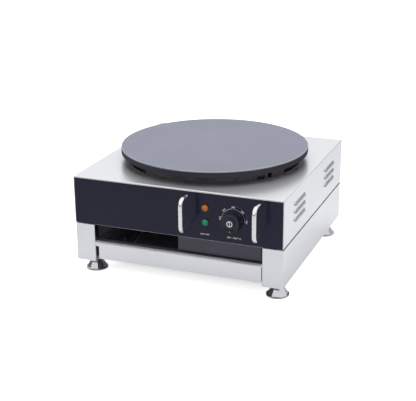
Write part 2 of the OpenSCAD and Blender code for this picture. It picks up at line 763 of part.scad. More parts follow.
// The rear row also holds the rear skirt's flange against the casing floor
module fascia_screws() at_body() color("silver") for (x = fascia_screw_xs, s = [-1, 1])
    translate([x, s * fascia_screw_y, leg_top - (s < 0 ? sheet : 0)])
        rotate([180, 0, 0]) pan_screw(screw_r, screw_len);

module cover_screws() at_body() color("silver") for (p = cover_screw_spots)
    translate([p[0], p[1], leg_top - sheet]) rotate([180, 0, 0]) pan_screw(screw_r, screw_len);

module rear_screws() at_body() color("silver") for (x = rear_screw_xs)
    translate([x, half_d, rear_screw_z]) rotate([-90, 0, 0]) pan_screw(screw_r, screw_len);

// --------------------------------------------------------------- controls

// Upper half of a handle: u runs out of the fascia, v runs up
module half_bow() {
    root = handle_root_span / 2;
    shoulder = handle_bar_span / 2;
    flare = atan2(shoulder - root, handle_reach);
    tangent = handle_bend_r * tan((90 + flare) / 2);
    leg_len = sqrt(pow(handle_reach, 2) + pow(shoulder - root, 2)) - tangent;
    difference() {
        translate([0, root, 0]) rotate([0, 0, flare]) translate([-3, 0, 0]) rotate([0, 90, 0])
            cylinder(r = handle_rod_d / 2, h = leg_len + 3 + bend_lap);
        translate([-20, 0, -20]) cube([20, 60, 40]);
    }
    translate([handle_reach - handle_bend_r, shoulder - tangent, 0])
        rotate_extrude(angle = 90 + flare) translate([handle_bend_r, 0]) circle(handle_rod_d / 2 + bend_swell);
    translate([handle_reach, 0, 0]) rotate([-90, 0, 0])
        cylinder(r = handle_rod_d / 2, h = shoulder - tangent + bend_lap);
}

module handle(x) at_body() translate([x, fascia_y, handle_z]) rotate([90, 0, -90])
    color([0.85, 0.86, 0.88]) difference() {
        for (s = [0, 1]) mirror([0, s, 0]) half_bow();
        for (s = [-1, 1]) translate([-1, s * handle_root_span / 2, 0]) rotate([0, 90, 0])
            cylinder(r = screw_r, h = 9);
    }

module handle_left() handle(left_handle_x);
module handle_right() handle(right_handle_x);

module handle_screws() color("silver") for (x = [left_handle_x, right_handle_x], s = [-1, 1])
    on_fascia(x, handle_z + s * handle_root_span / 2)
        translate([0, 0, fascia_y - backing_back]) rotate([180, 0, 0]) pan_screw(screw_r, screw_len + 2);

// A barrel through the fascia, held by a nut behind the backing
module lamp_body() color([0.12, 0.12, 0.13]) {
    difference() {
        translate([0, 0, -lamp_len]) cylinder(r = lamp_barrel_r, h = lamp_len);
        translate([0, 0, -lamp_len - 1]) cylinder(r = 3.6, h = 12);
    }
    translate([0, 0, fascia_y - backing_back - lamp_nut_h]) cylinder(r = lamp_nut_r, h = lamp_nut_h, $fn = 6);
}

// A lens like a cut stone: a round seat, a girdle and an eight-sided crown
module lamp_lens(tint) color(tint) {
    cylinder(r = lens_r, h = lens_seat_h);
    translate([0, 0, lens_seat_h - 0.1]) rotate(22.5) rotate_extrude($fn = 8)
        polygon([[0, 0], [6.4, 0], [6, 0.4 * crown_h], [2.6, crown_h], [0, crown_h]]);
}

module amber_lamp() on_fascia(lamp_x, deck - amber_drop) lamp_body();
module green_lamp() on_fascia(lamp_x, deck - green_drop) lamp_body();
module amber_lens() on_fascia(lamp_x, deck - amber_drop) lamp_lens([0.85, 0.45, 0.08]);
module green_lens() on_fascia(lamp_x, deck - green_drop) lamp_lens([0.1, 0.6, 0.4]);

module thermostat_body() on_fascia(knob_x, knob_z) color([0.75, 0.74, 0.7]) difference() {
    union() {
        translate([0, 0, fascia_y - thermostat_back + thermostat_depth / 2])
            linear_extrude(thermostat_depth, center = true) round_rect(thermostat_w, thermostat_w, 4);
        translate([0, 0, fascia_y - backing_back - 1]) cylinder(r = bush_r, h = backing_back - fascia_y + 0.6);
        // blade terminals
        for (x = [-12, 0, 12])
            translate([x - 3.1, -12, fascia_y - thermostat_back - 9]) cube([6.2, 0.8, 10]);
    }
    translate([0, 0, fascia_y - backing_back - 14]) cylinder(r = shaft_r + running_gap, h = 30);
    for (s = [-1, 1]) translate([s * thermostat_screw_x, 0, fascia_y - backing_back - 8])
        cylinder(r = screw_r, h = 12);
}

module thermostat_screws() color("silver") at_thermostat_screws() {
    sunk_head(0);
    translate([0, 0, -screw_len - screw_r]) cylinder(r = screw_r, h = screw_len + 0.5);
}

module thermostat_shaft() on_fascia(knob_x, knob_z) color("silver") difference() {
    translate([0, 0, fascia_y - backing_back - 13.5])
        cylinder(r = shaft_r, h = backing_back - fascia_y + 13.5 + shaft_end);
    shaft_flat();
}

// What is cut from the shaft to key the knob to it
module shaft_flat() translate([-shaft_r, 0.75 * shaft_r, 3]) cube([2 * shaft_r, shaft_r, knob_h]);

// Half section of the knob: a tapered drum with a dished face and a raised hub
module knob_profile() polygon(concat(
    [[0, knob_lift], [knob_d / 2, knob_lift], [knob_d / 2, knob_base_h - knob_chamfer],
     [knob_d / 2 - knob_chamfer, knob_base_h]],
    [for (a = [0 : 15 : 90])
        [knob_face_r - knob_edge_r * (1 - cos(a)), knob_h - knob_edge_r * (1 - sin(a))]],
    [[knob_face_r - 2.6, knob_h], [hub_r + 1.8, knob_h - knob_dish], [hub_r, knob_h - knob_dish],
     [hub_r, hub_top - knob_chamfer], [hub_r - knob_chamfer, hub_top], [0, hub_top]]));

module knob() on_fascia(knob_x, knob_z) color([0.1, 0.1, 0.11]) difference() {
    groove_z = knob_base_h + 1.4;
    taper = atan((knob_narrowing - knob_chamfer) / (knob_h - knob_edge_r - knob_base_h));
    groove_x = knob_d / 2 - knob_chamfer - 1.4 * tan(taper) + groove_r - groove_depth;
    union() {
        rotate_extrude($fn = 96) knob_profile();
        // pointer rib on the face, at the bottom when the thermostat is off
        translate([-pointer_w / 2, -knob_face_r + knob_edge_r, knob_h - knob_dish])
            cube([pointer_w, pointer_len, knob_dish + 0.5]);
    }
    difference() {
        cylinder(r = shaft_r, h = shaft_end);
        shaft_flat();
    }
    cylinder(r = bush_r + 1, h = 3);
    translate([0, 0, hub_top - insert_sunk]) cylinder(r = insert_r, h = 3);
    // finger grooves that follow the taper
    for (k = [0 : groove_count - 1]) rotate([0, 0, 360 * (k + 0.5) / groove_count])
        translate([groove_x, 0, groove_z]) rotate([0, -taper, 0])
            cylinder(r = groove_r, h = knob_h - groove_z - 3, $fn = 24);
}

module knob_insert() on_fascia(knob_x, knob_z) color([0.85, 0.85, 0.87]) difference() {
    translate([0, 0, hub_top - insert_sunk]) cylinder(r = insert_r, h = insert_sunk + insert_proud);
    // two upright recesses beside a bar that shows which way the knob points
    for (s = [-1, 1]) translate([insert_slot_x * s, 0, hub_top - 0.2])
        linear_extrude(2) rotate(90) slot(insert_slot_len, insert_slot_r);
}

// ------------------------------------------------------- inside the casing

// A sensing bulb under the griddle and the fine tube that leads from it
module bulb_and_tube(side, goal, goal_pull) at_body() color([0.72, 0.45, 0.3]) {
    start = [side * bulb_x, -bulb_len / 2, bulb_z];
    turn = [side * capillary_spot[0], capillary_spot[1], bulb_z - 9];
    below = [side * capillary_spot[0], capillary_spot[1], pan_floor - 8];
    translate([side * bulb_x, bulb_len / 2, bulb_z]) rotate([90, 0, 0]) cylinder(r = bulb_r, h = bulb_len);
    swept_tube(concat(
        bend(start + [0, 1, 0], start + [0, -4, 0], turn + [0, 0, 5], turn, 8),
        bend(below, below + [0, 0, -12], goal + goal_pull, goal, 20)), capillary_r, 6);
}

module thermostat_capillary() bulb_and_tube(1,
    [knob_x, thermostat_back + 0.1, knob_z + 12], [0, 45, 0]);
module cutout_capillary() bulb_and_tube(-1,
    [cutout_spot[0], cutout_spot[1], floor_top + cutout_size[2] + cutout_cap_h + 0.1], [0, 0, 40]);

module safety_cutout() at_body() color([0.2, 0.2, 0.22])
    translate([cutout_spot[0], cutout_spot[1], floor_top]) {
        translate([-cutout_size[0] / 2, -cutout_size[1] / 2, 0]) cube(cutout_size);
        translate([0, 0, cutout_size[2] - 1]) cylinder(r = cutout_cap_r, h = cutout_cap_h + 1);
        // blade terminals
        for (s = [-1, 1]) translate([s * cutout_size[0] / 3 - 3.1, cutout_size[1] / 2 - 1, 8])
            cube([6.2, 12, 0.8]);
    }

module terminal_block() at_body() color([0.9, 0.88, 0.82])
    translate([-gland_x, block_y, floor_top]) difference() {
        translate([-block_size[0] / 2, -block_size[1] / 2, 0]) cube(block_size);
        for (k = [-2 : 2]) translate([block_way * k, 0, 0]) {
            translate([0, -block_size[1] / 2 - 1, 9]) rotate([-90, 0, 0])
                cylinder(r = 2.4, h = block_size[1] + 2);
            for (s = [-1, 1]) translate([0, 6 * s, 12]) cylinder(r = 3, h = block_size[2]);
        }
    }

// Wires from the terminal block to the controls and the heating elements
module inner_wires() at_body() {
    block = [-gland_x, block_y - block_size[1] / 2 - 1, floor_top + 9];
    tab_end = [cutout_spot[0] + cutout_size[0] / 3,
               cutout_spot[1] + cutout_size[1] / 2 + 11.2, floor_top + 8.4];
    element_end = [-sqrt(pow(middle_loop_r, 2) - pow(terminal_y, 2)), terminal_y,
                   pan_floor - sleeve_drop - terminal_drop - 0.5];
    blade_end = [knob_x + 12, thermostat_back + 9.5, knob_z - 11.6];
    bond_end = [-bond_x, panel_inner - bond_in - 0.3, gland_z];
    color([0.65, 0.1, 0.1]) swept_tube(bend(block + [2 * block_way, 0, 0],
        block + [2 * block_way, -170, 0], blade_end + [-12, 80, 0], blade_end, 28), wire_r, 6);
    color([0.1, 0.25, 0.6]) swept_tube(bend(block + [block_way, 0, 0],
        block + [block_way, -60, 0], element_end + [0, 0, -30], element_end, 24), wire_r, 6);
    color([0.15, 0.15, 0.15]) swept_tube(bend(block, block + [0, -90, 0],
        tab_end + [0, 40, 0], tab_end, 24), wire_r, 6);
    color([0.3, 0.55, 0.2]) swept_tube(bend(block - [block_way, 0, 0],
        block + [-block_way, -50, 0], bond_end + [0, -50, 20], bond_end, 24), wire_r, 6);
}

// ------------------------------------------------------------------- rear

module cable_gland() on_rear(-gland_x, gland_z) color([0.12, 0.12, 0.13]) difference() {
    union() {
        cylinder(r = gland_body_r + 1.7, h = 6, $fn = 6);
        translate([0, 0, 6]) cylinder(r = gland_body_r, h = gland_out - 12);
        translate([0, 0, gland_out - 6]) cylinder(r1 = gland_body_r, r2 = gland_bore_r + 2.9, h = 6);
        translate([0, 0, -gland_inside]) cylinder(r = gland_thread_r, h = gland_inside + 1);
    }
    translate([0, 0, -gland_inside - 1]) cylinder(r = gland_bore_r, h = gland_inside + gland_out + 2);
}

module gland_nut() on_rear(-gland_x, gland_z) color([0.12, 0.12, 0.13])
    translate([0, 0, -sheet - 5]) nut(gland_body_r + 1, gland_thread_r, 5);

module bonding_stud() on_rear(-bond_x, gland_z) color([0.8, 0.7, 0.35]) {
    translate([0, 0, -sheet - bond_in]) cylinder(r = bond_r, h = bond_in + sheet + bond_out);
    cylinder(r = bond_nut_r, h = bond_nut_h, $fn = 6);
    translate([0, 0, -sheet - bond_nut_h]) cylinder(r = bond_nut_r, h = bond_nut_h, $fn = 6);
}

// ------------------------------------------------------------------- tray

module tray_pan() at_body() color([0.16, 0.16, 0.17]) {
    difference() {
        translate([-pan_half_w, tray_pan_y, tray_bottom])
            cube([2 * pan_half_w, tray_back_y - tray_pan_y, tray_rim - tray_bottom]);
        translate([-pan_half_w + tray_t, tray_pan_y + tray_t, tray_bottom + tray_t])
            cube([2 * (pan_half_w - tray_t), tray_back_y - tray_pan_y - 2 * tray_t, tray_h]);
    }
    // shelf turned inwards along the front
    translate([-pan_half_w, tray_pan_y, tray_rim - tray_t])
        cube([2 * pan_half_w, tray_shelf_w, tray_t]);
    both_sides() {
        // out-turned rim that rides on the runner
        translate([pan_half_w - 0.1, tray_pan_y + 4, tray_rim - tray_t])
            cube([tray_side_gap - sheet - 0.5, tray_back_y - tray_pan_y - 4, tray_t]);
        // drain bead along the floor
        intersection() {
            translate([pan_half_w - 24, tray_pan_y + 3, tray_bottom + tray_t - 1.2]) rotate([-90, 0, 0])
                cylinder(r = 2, h = tray_back_y - tray_pan_y - 6);
            translate([0, tray_pan_y, tray_bottom + tray_t / 2]) cube([pan_half_w, casing_d, 5]);
        }
    }
}

// Section of the front: an upright plate whose top is folded forwards and down as a grip
module tray_front_section() {
    hook_w = tray_grip_out + sheet;
    middle = [sheet - hook_w / 2, tray_bottom];
    difference() {
        translate(middle) round_rect(hook_w, 2 * tray_h, fold_r);
        translate(middle) round_rect(hook_w - 2 * sheet, 2 * (tray_h - sheet), fold_r - sheet);
        translate([-hook_w, tray_bottom - 2 * tray_h]) square([2 * hook_w, 2 * tray_h]);
        translate([-hook_w, tray_bottom - 1]) square([hook_w, tray_h - tray_grip_h + 1]);
    }
}

module tray_front() at_body() color([0.85, 0.85, 0.87]) difference() {
    translate([-grip_half_w, tray_front_y, 0]) rotate([90, 0, 90])
        linear_extrude(2 * grip_half_w) tray_front_section();
    // the plate is a little narrower than its grip
    both_sides() translate([plate_half_w, tray_front_y - 1, tray_bottom - 1])
        cube([20, sheet + 2, tray_h - tray_grip_h + 1]);
}

// ------------------------------------------------------------------- feet

module foot(sx, sy, turn) at_body() translate([sx * foot_x, sy * foot_y, 0]) rotate([0, 0, turn])
    color([0.82, 0.83, 0.85]) {
        rotate_extrude() {
            square([foot_flange_d / 2, foot_flange_h - 0.8]);
            square([foot_flange_d / 2 - 0.8, foot_flange_h]);
            translate([foot_flange_d / 2 - 0.8, foot_flange_h - 0.8]) circle(0.8);
        }
        translate([0, 0, foot_flange_h - 0.2])
            cylinder(r1 = foot_cone_r, r2 = foot_cone_top_r, h = foot_cone_h - foot_flange_h, $fn = 8);
        translate([0, 0, foot_cone_h - 2]) cylinder(r = stud_r, h = stud_end - foot_cone_h + 2);
    }

module foot_front_left() foot(-1, -1, 30);
module foot_front_right() foot(1, -1, 30);
module foot_rear_left() foot(-1, 1, 24);
module foot_rear_right() foot(1, 1, 5);

griddle_plate();
heating_element_inner();
heating_element_middle();
heating_element_outer();
element_clamp();
insulation_pad();
heat_pan();
skirt_ring();
griddle_studs();
griddle_nuts();
support_bars();
bar_fixings();
casing_shell();
casing_floor();
rear_panel();
fascia_backing();
fascia();
wiring_cover();
side_frame_left();
side_frame_right();
rear_skirt();
foot_gussets();
weld_nuts();
runner_left();
runner_right();
runner_rivets();
floor_screws();
fascia_screws();
cover_screws();
rear_screws();
handle_left();
handle_right();
handle_screws();
amber_lamp();
amber_lens();
green_lamp();
green_lens();
thermostat_body();
thermostat_screws();
thermostat_capillary();
safety_cutout();
cutout_capillary();
terminal_block();
inner_wires();
cable_gland();
gland_nut();
bonding_stud();
tray_pan();
tray_front();
thermostat_shaft();
knob();
knob_insert();
foot_front_left();
foot_front_right();
foot_rear_left();
foot_rear_right();
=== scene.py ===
# %% [markdown]
# # A crepe maker, from bare frame to finished picture
# The model arrives as plain grey pieces: a griddle, a folded steel casing, leg
# frames, a tray, feet, and all that is hidden inside. This lesson gives each of
# them its finish, and adds the small things that are too fine for the
# construction drawing: print on the front, screw heads and threads.
# Everything is in metres, and every piece keeps its place in its own mesh, so
# a pattern that reads Object coordinates stays put when a piece moves.

# %% Load the frame
import json
import math

import bmesh
import bpy
import numpy as np
from mathutils import Matrix, Vector


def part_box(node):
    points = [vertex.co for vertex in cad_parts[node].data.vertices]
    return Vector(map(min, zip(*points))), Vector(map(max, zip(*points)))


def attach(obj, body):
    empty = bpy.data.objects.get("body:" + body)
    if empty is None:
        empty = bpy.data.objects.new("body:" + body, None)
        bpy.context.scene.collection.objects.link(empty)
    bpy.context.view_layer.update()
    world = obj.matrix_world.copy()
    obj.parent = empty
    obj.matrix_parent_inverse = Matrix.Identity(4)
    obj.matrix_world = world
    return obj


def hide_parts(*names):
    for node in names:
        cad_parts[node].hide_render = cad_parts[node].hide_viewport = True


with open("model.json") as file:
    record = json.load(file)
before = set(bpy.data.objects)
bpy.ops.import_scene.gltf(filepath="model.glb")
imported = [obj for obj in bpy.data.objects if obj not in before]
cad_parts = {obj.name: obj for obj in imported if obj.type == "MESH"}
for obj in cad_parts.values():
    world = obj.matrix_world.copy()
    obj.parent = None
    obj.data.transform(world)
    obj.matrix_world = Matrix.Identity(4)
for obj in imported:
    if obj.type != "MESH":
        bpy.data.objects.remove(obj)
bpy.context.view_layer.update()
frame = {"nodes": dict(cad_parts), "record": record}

MM = 0.001
nodes = frame["nodes"]
bpy.context.scene.view_settings.view_transform = "Standard"

# %% [markdown]
# ## The camera
# A product picture is taken from a little over two metres, with a long lens,
# so that the upright edges stay almost parallel. The camera looks at a point
# inside the body, from the right and from above. Its three axes are worked out
# from those two angles and set as a matrix, with a touch of roll.

# %% Place the camera
CAMERA_TURN = math.radians(21.437)
CAMERA_RISE = math.radians(19.692)
CAMERA_ROLL = math.radians(-0.446)
CAMERA_REACH = 2.208
CAMERA_AIM = Vector((-0.01646, 0.01375, 0.11264))
SENSOR_WIDTH, LENS = 36, 86.93


def look_axes(turn, rise, roll):
    """The camera's right, up and backward axes; turn and rise place it, roll tilts right and up."""
    back = Vector((math.sin(turn) * math.cos(rise), -math.cos(turn) * math.cos(rise), math.sin(rise)))
    right = Vector((math.cos(turn), math.sin(turn), 0))
    up = back.cross(right)
    return (right * math.cos(roll) + up * math.sin(roll),
            up * math.cos(roll) - right * math.sin(roll),
            back)


right, up, back = look_axes(CAMERA_TURN, CAMERA_RISE, CAMERA_ROLL)
camera_data = bpy.data.cameras.new("camera")
camera_data.sensor_width = SENSOR_WIDTH
camera_data.lens = LENS
camera = bpy.data.objects.new("camera", camera_data)
bpy.context.collection.objects.link(camera)
camera.matrix_world = (Matrix.Translation(CAMERA_AIM + back * CAMERA_REACH)
                       @ Matrix((right, up, back)).transposed().to_4x4())
bpy.context.scene.camera = camera
print("camera at", [round(c, 3) for c in camera.location])

# %% [markdown]
# ## Light and floor
# Polished steel has hardly any colour of its own: it shows what stands around
# it. So the room matters more than the lamp. Overhead it is white, and towards
# the horizon it darkens, as a studio does behind its lights; that band is what
# draws the folds and louvres. As a source of light the room is dim, and one
# wide lamp overhead does the rest, so that tops are bright and sides are not.
#
# Node trees are built in code here, so a few short functions keep that readable:
# one adds a node and sets its sockets, one does arithmetic, one makes a soft step
# between two values, and one reads the three Object coordinates.

# %% Small helpers for node trees


def new_tree(block):
    """Empties a material's or world's node tree and returns it."""
    block.use_nodes = True
    block.node_tree.nodes.clear()
    return block.node_tree


def add_node(tree, kind, **settings):
    """A node of this kind. A setting whose name ends in an underscore is a socket's value, with
    underscores for spaces; any other is an attribute of the node."""
    made = tree.nodes.new(kind)
    for name, value in settings.items():
        if name.endswith("_"):
            made.inputs[name[:-1].replace("_", " ")].default_value = value
        else:
            setattr(made, name, value)
    return made


def maths(tree, operation, *terms):
    """A Math node on numbers or outputs, and its output."""
    made = add_node(tree, "ShaderNodeMath", operation=operation)
    for socket, term in zip(made.inputs, terms):
        if isinstance(term, (int, float)):
            socket.default_value = term
        else:
            tree.links.new(term, socket)
    return made.outputs[0]


def ramp(tree, value, start, end, low=0.0, high=1.0):
    """A smooth step: low where the value is below start, high where it is past end."""
    made = add_node(tree, "ShaderNodeMapRange", interpolation_type="SMOOTHSTEP")
    for socket, number in (("From Min", start), ("From Max", end), ("To Min", low), ("To Max", high)):
        made.inputs[socket].default_value = number
    tree.links.new(value, made.inputs["Value"])
    return made.outputs[0]


def apart(tree, value, middle):
    """How far a value lies from the middle, to either side."""
    return maths(tree, "ABSOLUTE", maths(tree, "SUBTRACT", value, middle))


def place_of(tree):
    """The X, Y and Z outputs of Object coordinates."""
    where = add_node(tree, "ShaderNodeTexCoord")
    parts = add_node(tree, "ShaderNodeSeparateXYZ")
    tree.links.new(where.outputs["Object"], parts.inputs[0])
    return parts.outputs


def seen_or_mirrored(tree):
    """Two outputs: one is 1 for a ray straight from the camera, the other also for a ray off
    something glossy or through something clear."""
    path = add_node(tree, "ShaderNodeLightPath").outputs
    mirrored = maths(tree, "MAXIMUM", path["Is Glossy Ray"], path["Is Transmission Ray"])
    return path["Is Camera Ray"], maths(tree, "MAXIMUM", path["Is Camera Ray"], mirrored)


def grey(level):
    """A colour without a hue, with its alpha."""
    return (level, level, level, 1)


# %% [markdown]
# The room is the world's background. A ray straight from the camera sees plain
# white. A ray off metal sees white overhead and grey near the horizon. Any other
# ray, the kind that lights dull surfaces, finds a dim and even glow. A world's
# Generated coordinate is the direction of the ray, so its Z tells how high it goes.

# %% The room
ROOM_GLOW = 0.42
HORIZON_IN_METAL = 0.12
HORIZON_TOP, WHITE_FROM = 0.04, 0.34
world = bpy.data.worlds.new("room")
bpy.context.scene.world = world
tree = new_tree(world)
direct, seen = seen_or_mirrored(tree)
way = add_node(tree, "ShaderNodeTexCoord")
height = add_node(tree, "ShaderNodeSeparateXYZ")
tree.links.new(way.outputs["Generated"], height.inputs[0])
rise = ramp(tree, height.outputs["Z"], HORIZON_TOP, WHITE_FROM, HORIZON_IN_METAL, 1.0)
seen_sky = add_node(tree, "ShaderNodeBackground", Color_=grey(1))
tree.links.new(maths(tree, "MAXIMUM", direct, rise), seen_sky.inputs["Strength"])
light_sky = add_node(tree, "ShaderNodeBackground", Color_=grey(1), Strength_=ROOM_GLOW)
pick = add_node(tree, "ShaderNodeMixShader")
out = add_node(tree, "ShaderNodeOutputWorld")
tree.links.new(seen, pick.inputs[0])
tree.links.new(light_sky.outputs[0], pick.inputs[1])
tree.links.new(seen_sky.outputs[0], pick.inputs[2])
tree.links.new(pick.outputs[0], out.inputs[0])
print("in metal the room goes from", HORIZON_IN_METAL, "at the horizon to white overhead")

# %% [markdown]
# The floor is white paper. Seen straight, it glows just enough to be plain white
# around the body, and less beneath it: a painted shadow, deepest under the body.
# In the metal it glows far less, and least in front, a painted reflection which
# keeps the front of the body a shade darker than its side. On top of that it takes
# light like any paper, so the body's shadow stays on it. How far a point lies
# outside the body's footprint is the larger of its distances past the sides and
# past the front or back.

# %% The floor
FLOOR_HALF = 12.0
PAPER_BENEATH, PAPER_AROUND = 0.35, 1.0
SHADE_FULL, SHADE_GONE = 0.15, 0.01
MIRRORED_IN_FRONT, MIRRORED_BESIDE = 0.11, 0.20
FRONT_END, BESIDE_START = -0.45, 0.05
PAPER_WHITE, PAPER_BOUNCE = 0.7, 0.35
floor_mesh = bpy.data.meshes.new("floor")
corners = [(x * FLOOR_HALF, y * FLOOR_HALF, 0) for x, y in ((-1, -1), (1, -1), (1, 1), (-1, 1))]
floor_mesh.from_pydata(corners, [], [(0, 1, 2, 3)])
floor = bpy.data.objects.new("floor", floor_mesh)
bpy.context.collection.objects.link(floor)
paper = bpy.data.materials.new("paper_floor")
floor_mesh.materials.append(paper)
tree = new_tree(paper)
direct, seen = seen_or_mirrored(tree)
where = place_of(tree)
low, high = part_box("casing_floor")
middle, half = (low + high) / 2, (high - low) / 2
past_side = maths(tree, "SUBTRACT", apart(tree, where["X"], middle.x), half.x)
past_front = maths(tree, "SUBTRACT", apart(tree, where["Y"], middle.y), half.y)
outside = maths(tree, "MAXIMUM", past_side, past_front)
# Beneath the body the glow drops: a painted shadow on the floor.
around = ramp(tree, outside, -SHADE_FULL, -SHADE_GONE, PAPER_BENEATH, PAPER_AROUND)
# In the metal the floor is darker in front: a painted reflection that shades the body's front.
mirrored = ramp(tree, where["Y"], FRONT_END, BESIDE_START, MIRRORED_IN_FRONT, MIRRORED_BESIDE)
strength = maths(tree, "MULTIPLY", maths(tree, "MAXIMUM", direct, mirrored), around)
glow = add_node(tree, "ShaderNodeEmission", Color_=grey(1))
lit = add_node(tree, "ShaderNodeBsdfDiffuse", Color_=grey(PAPER_WHITE))
bounce = add_node(tree, "ShaderNodeBsdfDiffuse", Color_=grey(PAPER_BOUNCE))
both = add_node(tree, "ShaderNodeAddShader")
pick = add_node(tree, "ShaderNodeMixShader")
out = add_node(tree, "ShaderNodeOutputMaterial")
tree.links.new(strength, glow.inputs["Strength"])
tree.links.new(glow.outputs[0], both.inputs[0])
tree.links.new(lit.outputs[0], both.inputs[1])
tree.links.new(seen, pick.inputs[0])
tree.links.new(bounce.outputs[0], pick.inputs[1])
tree.links.new(both.outputs[0], pick.inputs[2])
tree.links.new(pick.outputs[0], out.inputs[0])
print("footprint", [round(2 * side / MM) for side in half.xy], "mm")

# %% [markdown]
# One wide lamp hangs above. Its size keeps shadows soft, and from above it lights
# the deck and the griddle and leaves the walls to the room. It is hidden from
# mirror-like reflections, because a steel deck would show it as a white patch
# with a hard edge.

# %% The lamp overhead
LAMP_PLACE, LAMP_AIM = Vector((-0.05, 0.10, 2.2)), Vector((0, 0, 0.1))
lamp_data = bpy.data.lights.new("softbox", "AREA")
lamp_data.shape = "RECTANGLE"
lamp_data.size, lamp_data.size_y = 1.8, 1.4
lamp_data.energy = 34
lamp = bpy.data.objects.new("softbox", lamp_data)
lamp.visible_glossy = False
bpy.context.collection.objects.link(lamp)
lamp.location = LAMP_PLACE
lamp.rotation_euler = (LAMP_AIM - LAMP_PLACE).to_track_quat("-Z", "Y").to_euler()
print("one lamp of", lamp_data.energy, "W and a room of strength", ROOM_GLOW)

# %% [markdown]
# ## Finishes
# Every finish starts from the same shader and differs in three things: its
# colour, how rough it is, and how those two wander over the surface. The
# wandering comes from noise read on Object coordinates. Stretched strongly
# along one axis, the same noise becomes the grain of rolled sheet; left even,
# it becomes the mottling of zinc or of a baked coating.

# %% One function for all finishes
NOISE_LOW, NOISE_HIGH = 0.3, 0.7
SMOOTHEST = 0.02


def noise_on(tree, name, scale, detail, stretch=(1, 1, 1)):
    """Noise around a half, on Object coordinates multiplied by stretch."""
    where = add_node(tree, "ShaderNodeTexCoord")
    stretched = add_node(tree, "ShaderNodeMapping", Scale_=stretch)
    noise = add_node(tree, "ShaderNodeTexNoise", name=name, Scale_=scale, Detail_=detail)
    tree.links.new(where.outputs["Object"], stretched.inputs["Vector"])
    tree.links.new(stretched.outputs[0], noise.inputs["Vector"])
    return noise.outputs["Fac"]


def raise_by(tree, relief, height):
    """Bumps the surface by an output between 0 and 1, where 1 stands this high, in metres."""
    raised = add_node(tree, "ShaderNodeBump", Strength_=1.0, Distance_=height)
    tree.links.new(relief, raised.inputs["Height"])
    tree.links.new(raised.outputs[0], tree.nodes["shader"].inputs["Normal"])


def finish_like(name, colour, rough, metal=0.0, grain=(60, 60, 60), spread=0.06, tint=0.03,
                bump=0.0, blotch=9.0, **sockets):
    """A finish whose roughness is rough +- spread along fine noise stretched by grain, and whose
    colour is lightened and darkened by tint over slow blotches. The fine noise also raises the
    surface by bump, in metres."""
    made = bpy.data.materials.new(name)
    tree = new_tree(made)
    fine = noise_on(tree, "fine", 10.0, 4.0, grain)
    slow = noise_on(tree, "slow", blotch, 3.0)
    shader = add_node(tree, "ShaderNodeBsdfPrincipled", name="shader", Metallic_=metal, **sockets)
    out = add_node(tree, "ShaderNodeOutputMaterial")
    tree.links.new(shader.outputs[0], out.inputs[0])
    rougher = add_node(tree, "ShaderNodeMapRange")
    for socket, number in (("From Min", NOISE_LOW), ("From Max", NOISE_HIGH),
                           ("To Min", max(rough - spread, SMOOTHEST)), ("To Max", rough + spread)):
        rougher.inputs[socket].default_value = number
    tree.links.new(fine, rougher.inputs["Value"])
    tree.links.new(rougher.outputs[0], shader.inputs["Roughness"])
    shade = add_node(tree, "ShaderNodeValToRGB")
    darker, lighter = shade.color_ramp.elements
    for stop, at, level in ((darker, NOISE_LOW, 1 - tint), (lighter, NOISE_HIGH, 1 + tint)):
        stop.position = at
        stop.color = (*[min(c * level, 1) for c in colour], 1)
    tree.links.new(slow, shade.inputs[0])
    tree.links.new(shade.outputs[0], shader.inputs["Base Color"])
    if bump:
        raise_by(tree, fine, bump)
    return made


# %% [markdown]
# Each finish is one row: its colour, its roughness, and whatever differs from the
# plain case. Bare metals have metal=1 and show their colour in what they mirror.
# Plastics and ceramics have none, and dark coatings on steel lie between. Colours
# are in linear light, so half of white is about 0.21.

# %% The finishes, one for each material slot
SHEET_GRAIN = (4, 220, 220)
recipes = {
    "stainless": ((0.835, 0.845, 0.895), 0.17,
                  dict(metal=1.0, grain=SHEET_GRAIN, spread=0.04, tint=0.015, bump=0.0015 * MM)),
    "zinc_steel": ((0.52, 0.53, 0.55), 0.42, dict(metal=1.0, spread=0.1, tint=0.12, blotch=60)),
    "handle_steel": ((0.90, 0.90, 0.92), 0.20, dict(metal=1.0, grain=(90, 90, 5), spread=0.03)),
    "foot_steel": ((0.62, 0.62, 0.65), 0.08, dict(metal=1.0, spread=0.03)),
    "plate": ((0.256, 0.264, 0.330), 0.44, dict(spread=0.05, blotch=14, Specular_IOR_Level_=0.1)),
    "element": ((0.05, 0.045, 0.04), 0.6, dict(metal=0.6, tint=0.3)),
    "dark_steel": ((0.034, 0.032, 0.036), 0.5, dict(metal=0.3, tint=0.2, blotch=40)),
    "fascia_black": ((0.008, 0.008, 0.046), 0.2, dict(spread=0.03, tint=0.05, Specular_IOR_Level_=0.36)),
    "black_plastic": ((0.011, 0.013, 0.030), 0.30, dict(tint=0.08, bump=0.01 * MM)),
    "tray_dark": ((0.18, 0.18, 0.22), 0.4, dict(tint=0.15, blotch=25)),
    "ceramic": ((0.72, 0.68, 0.58), 0.35, dict(tint=0.04)),
    "copper": ((0.70, 0.32, 0.18), 0.3, dict(metal=1.0, tint=0.1)),
    "brass": ((0.72, 0.50, 0.20), 0.28, dict(metal=1.0, tint=0.06)),
    "wire": ((0.25, 0.02, 0.02), 0.5, dict(tint=0.1)),
    "insulation": ((0.62, 0.58, 0.48), 0.95, dict(tint=0.2, bump=0.6 * MM)),
    "knob_face": ((0.78, 0.78, 0.80), 0.25, dict(metal=1.0)),
    "amber_lens": ((0.88, 0.27, 0.004), 0.05, {}),
    "green_lens": ((0.004, 0.44, 0.27), 0.05, {}),
}
finishes = {name: finish_like(name, colour, rough, **more)
            for name, (colour, rough, more) in recipes.items()}
print(len(finishes), "finishes")

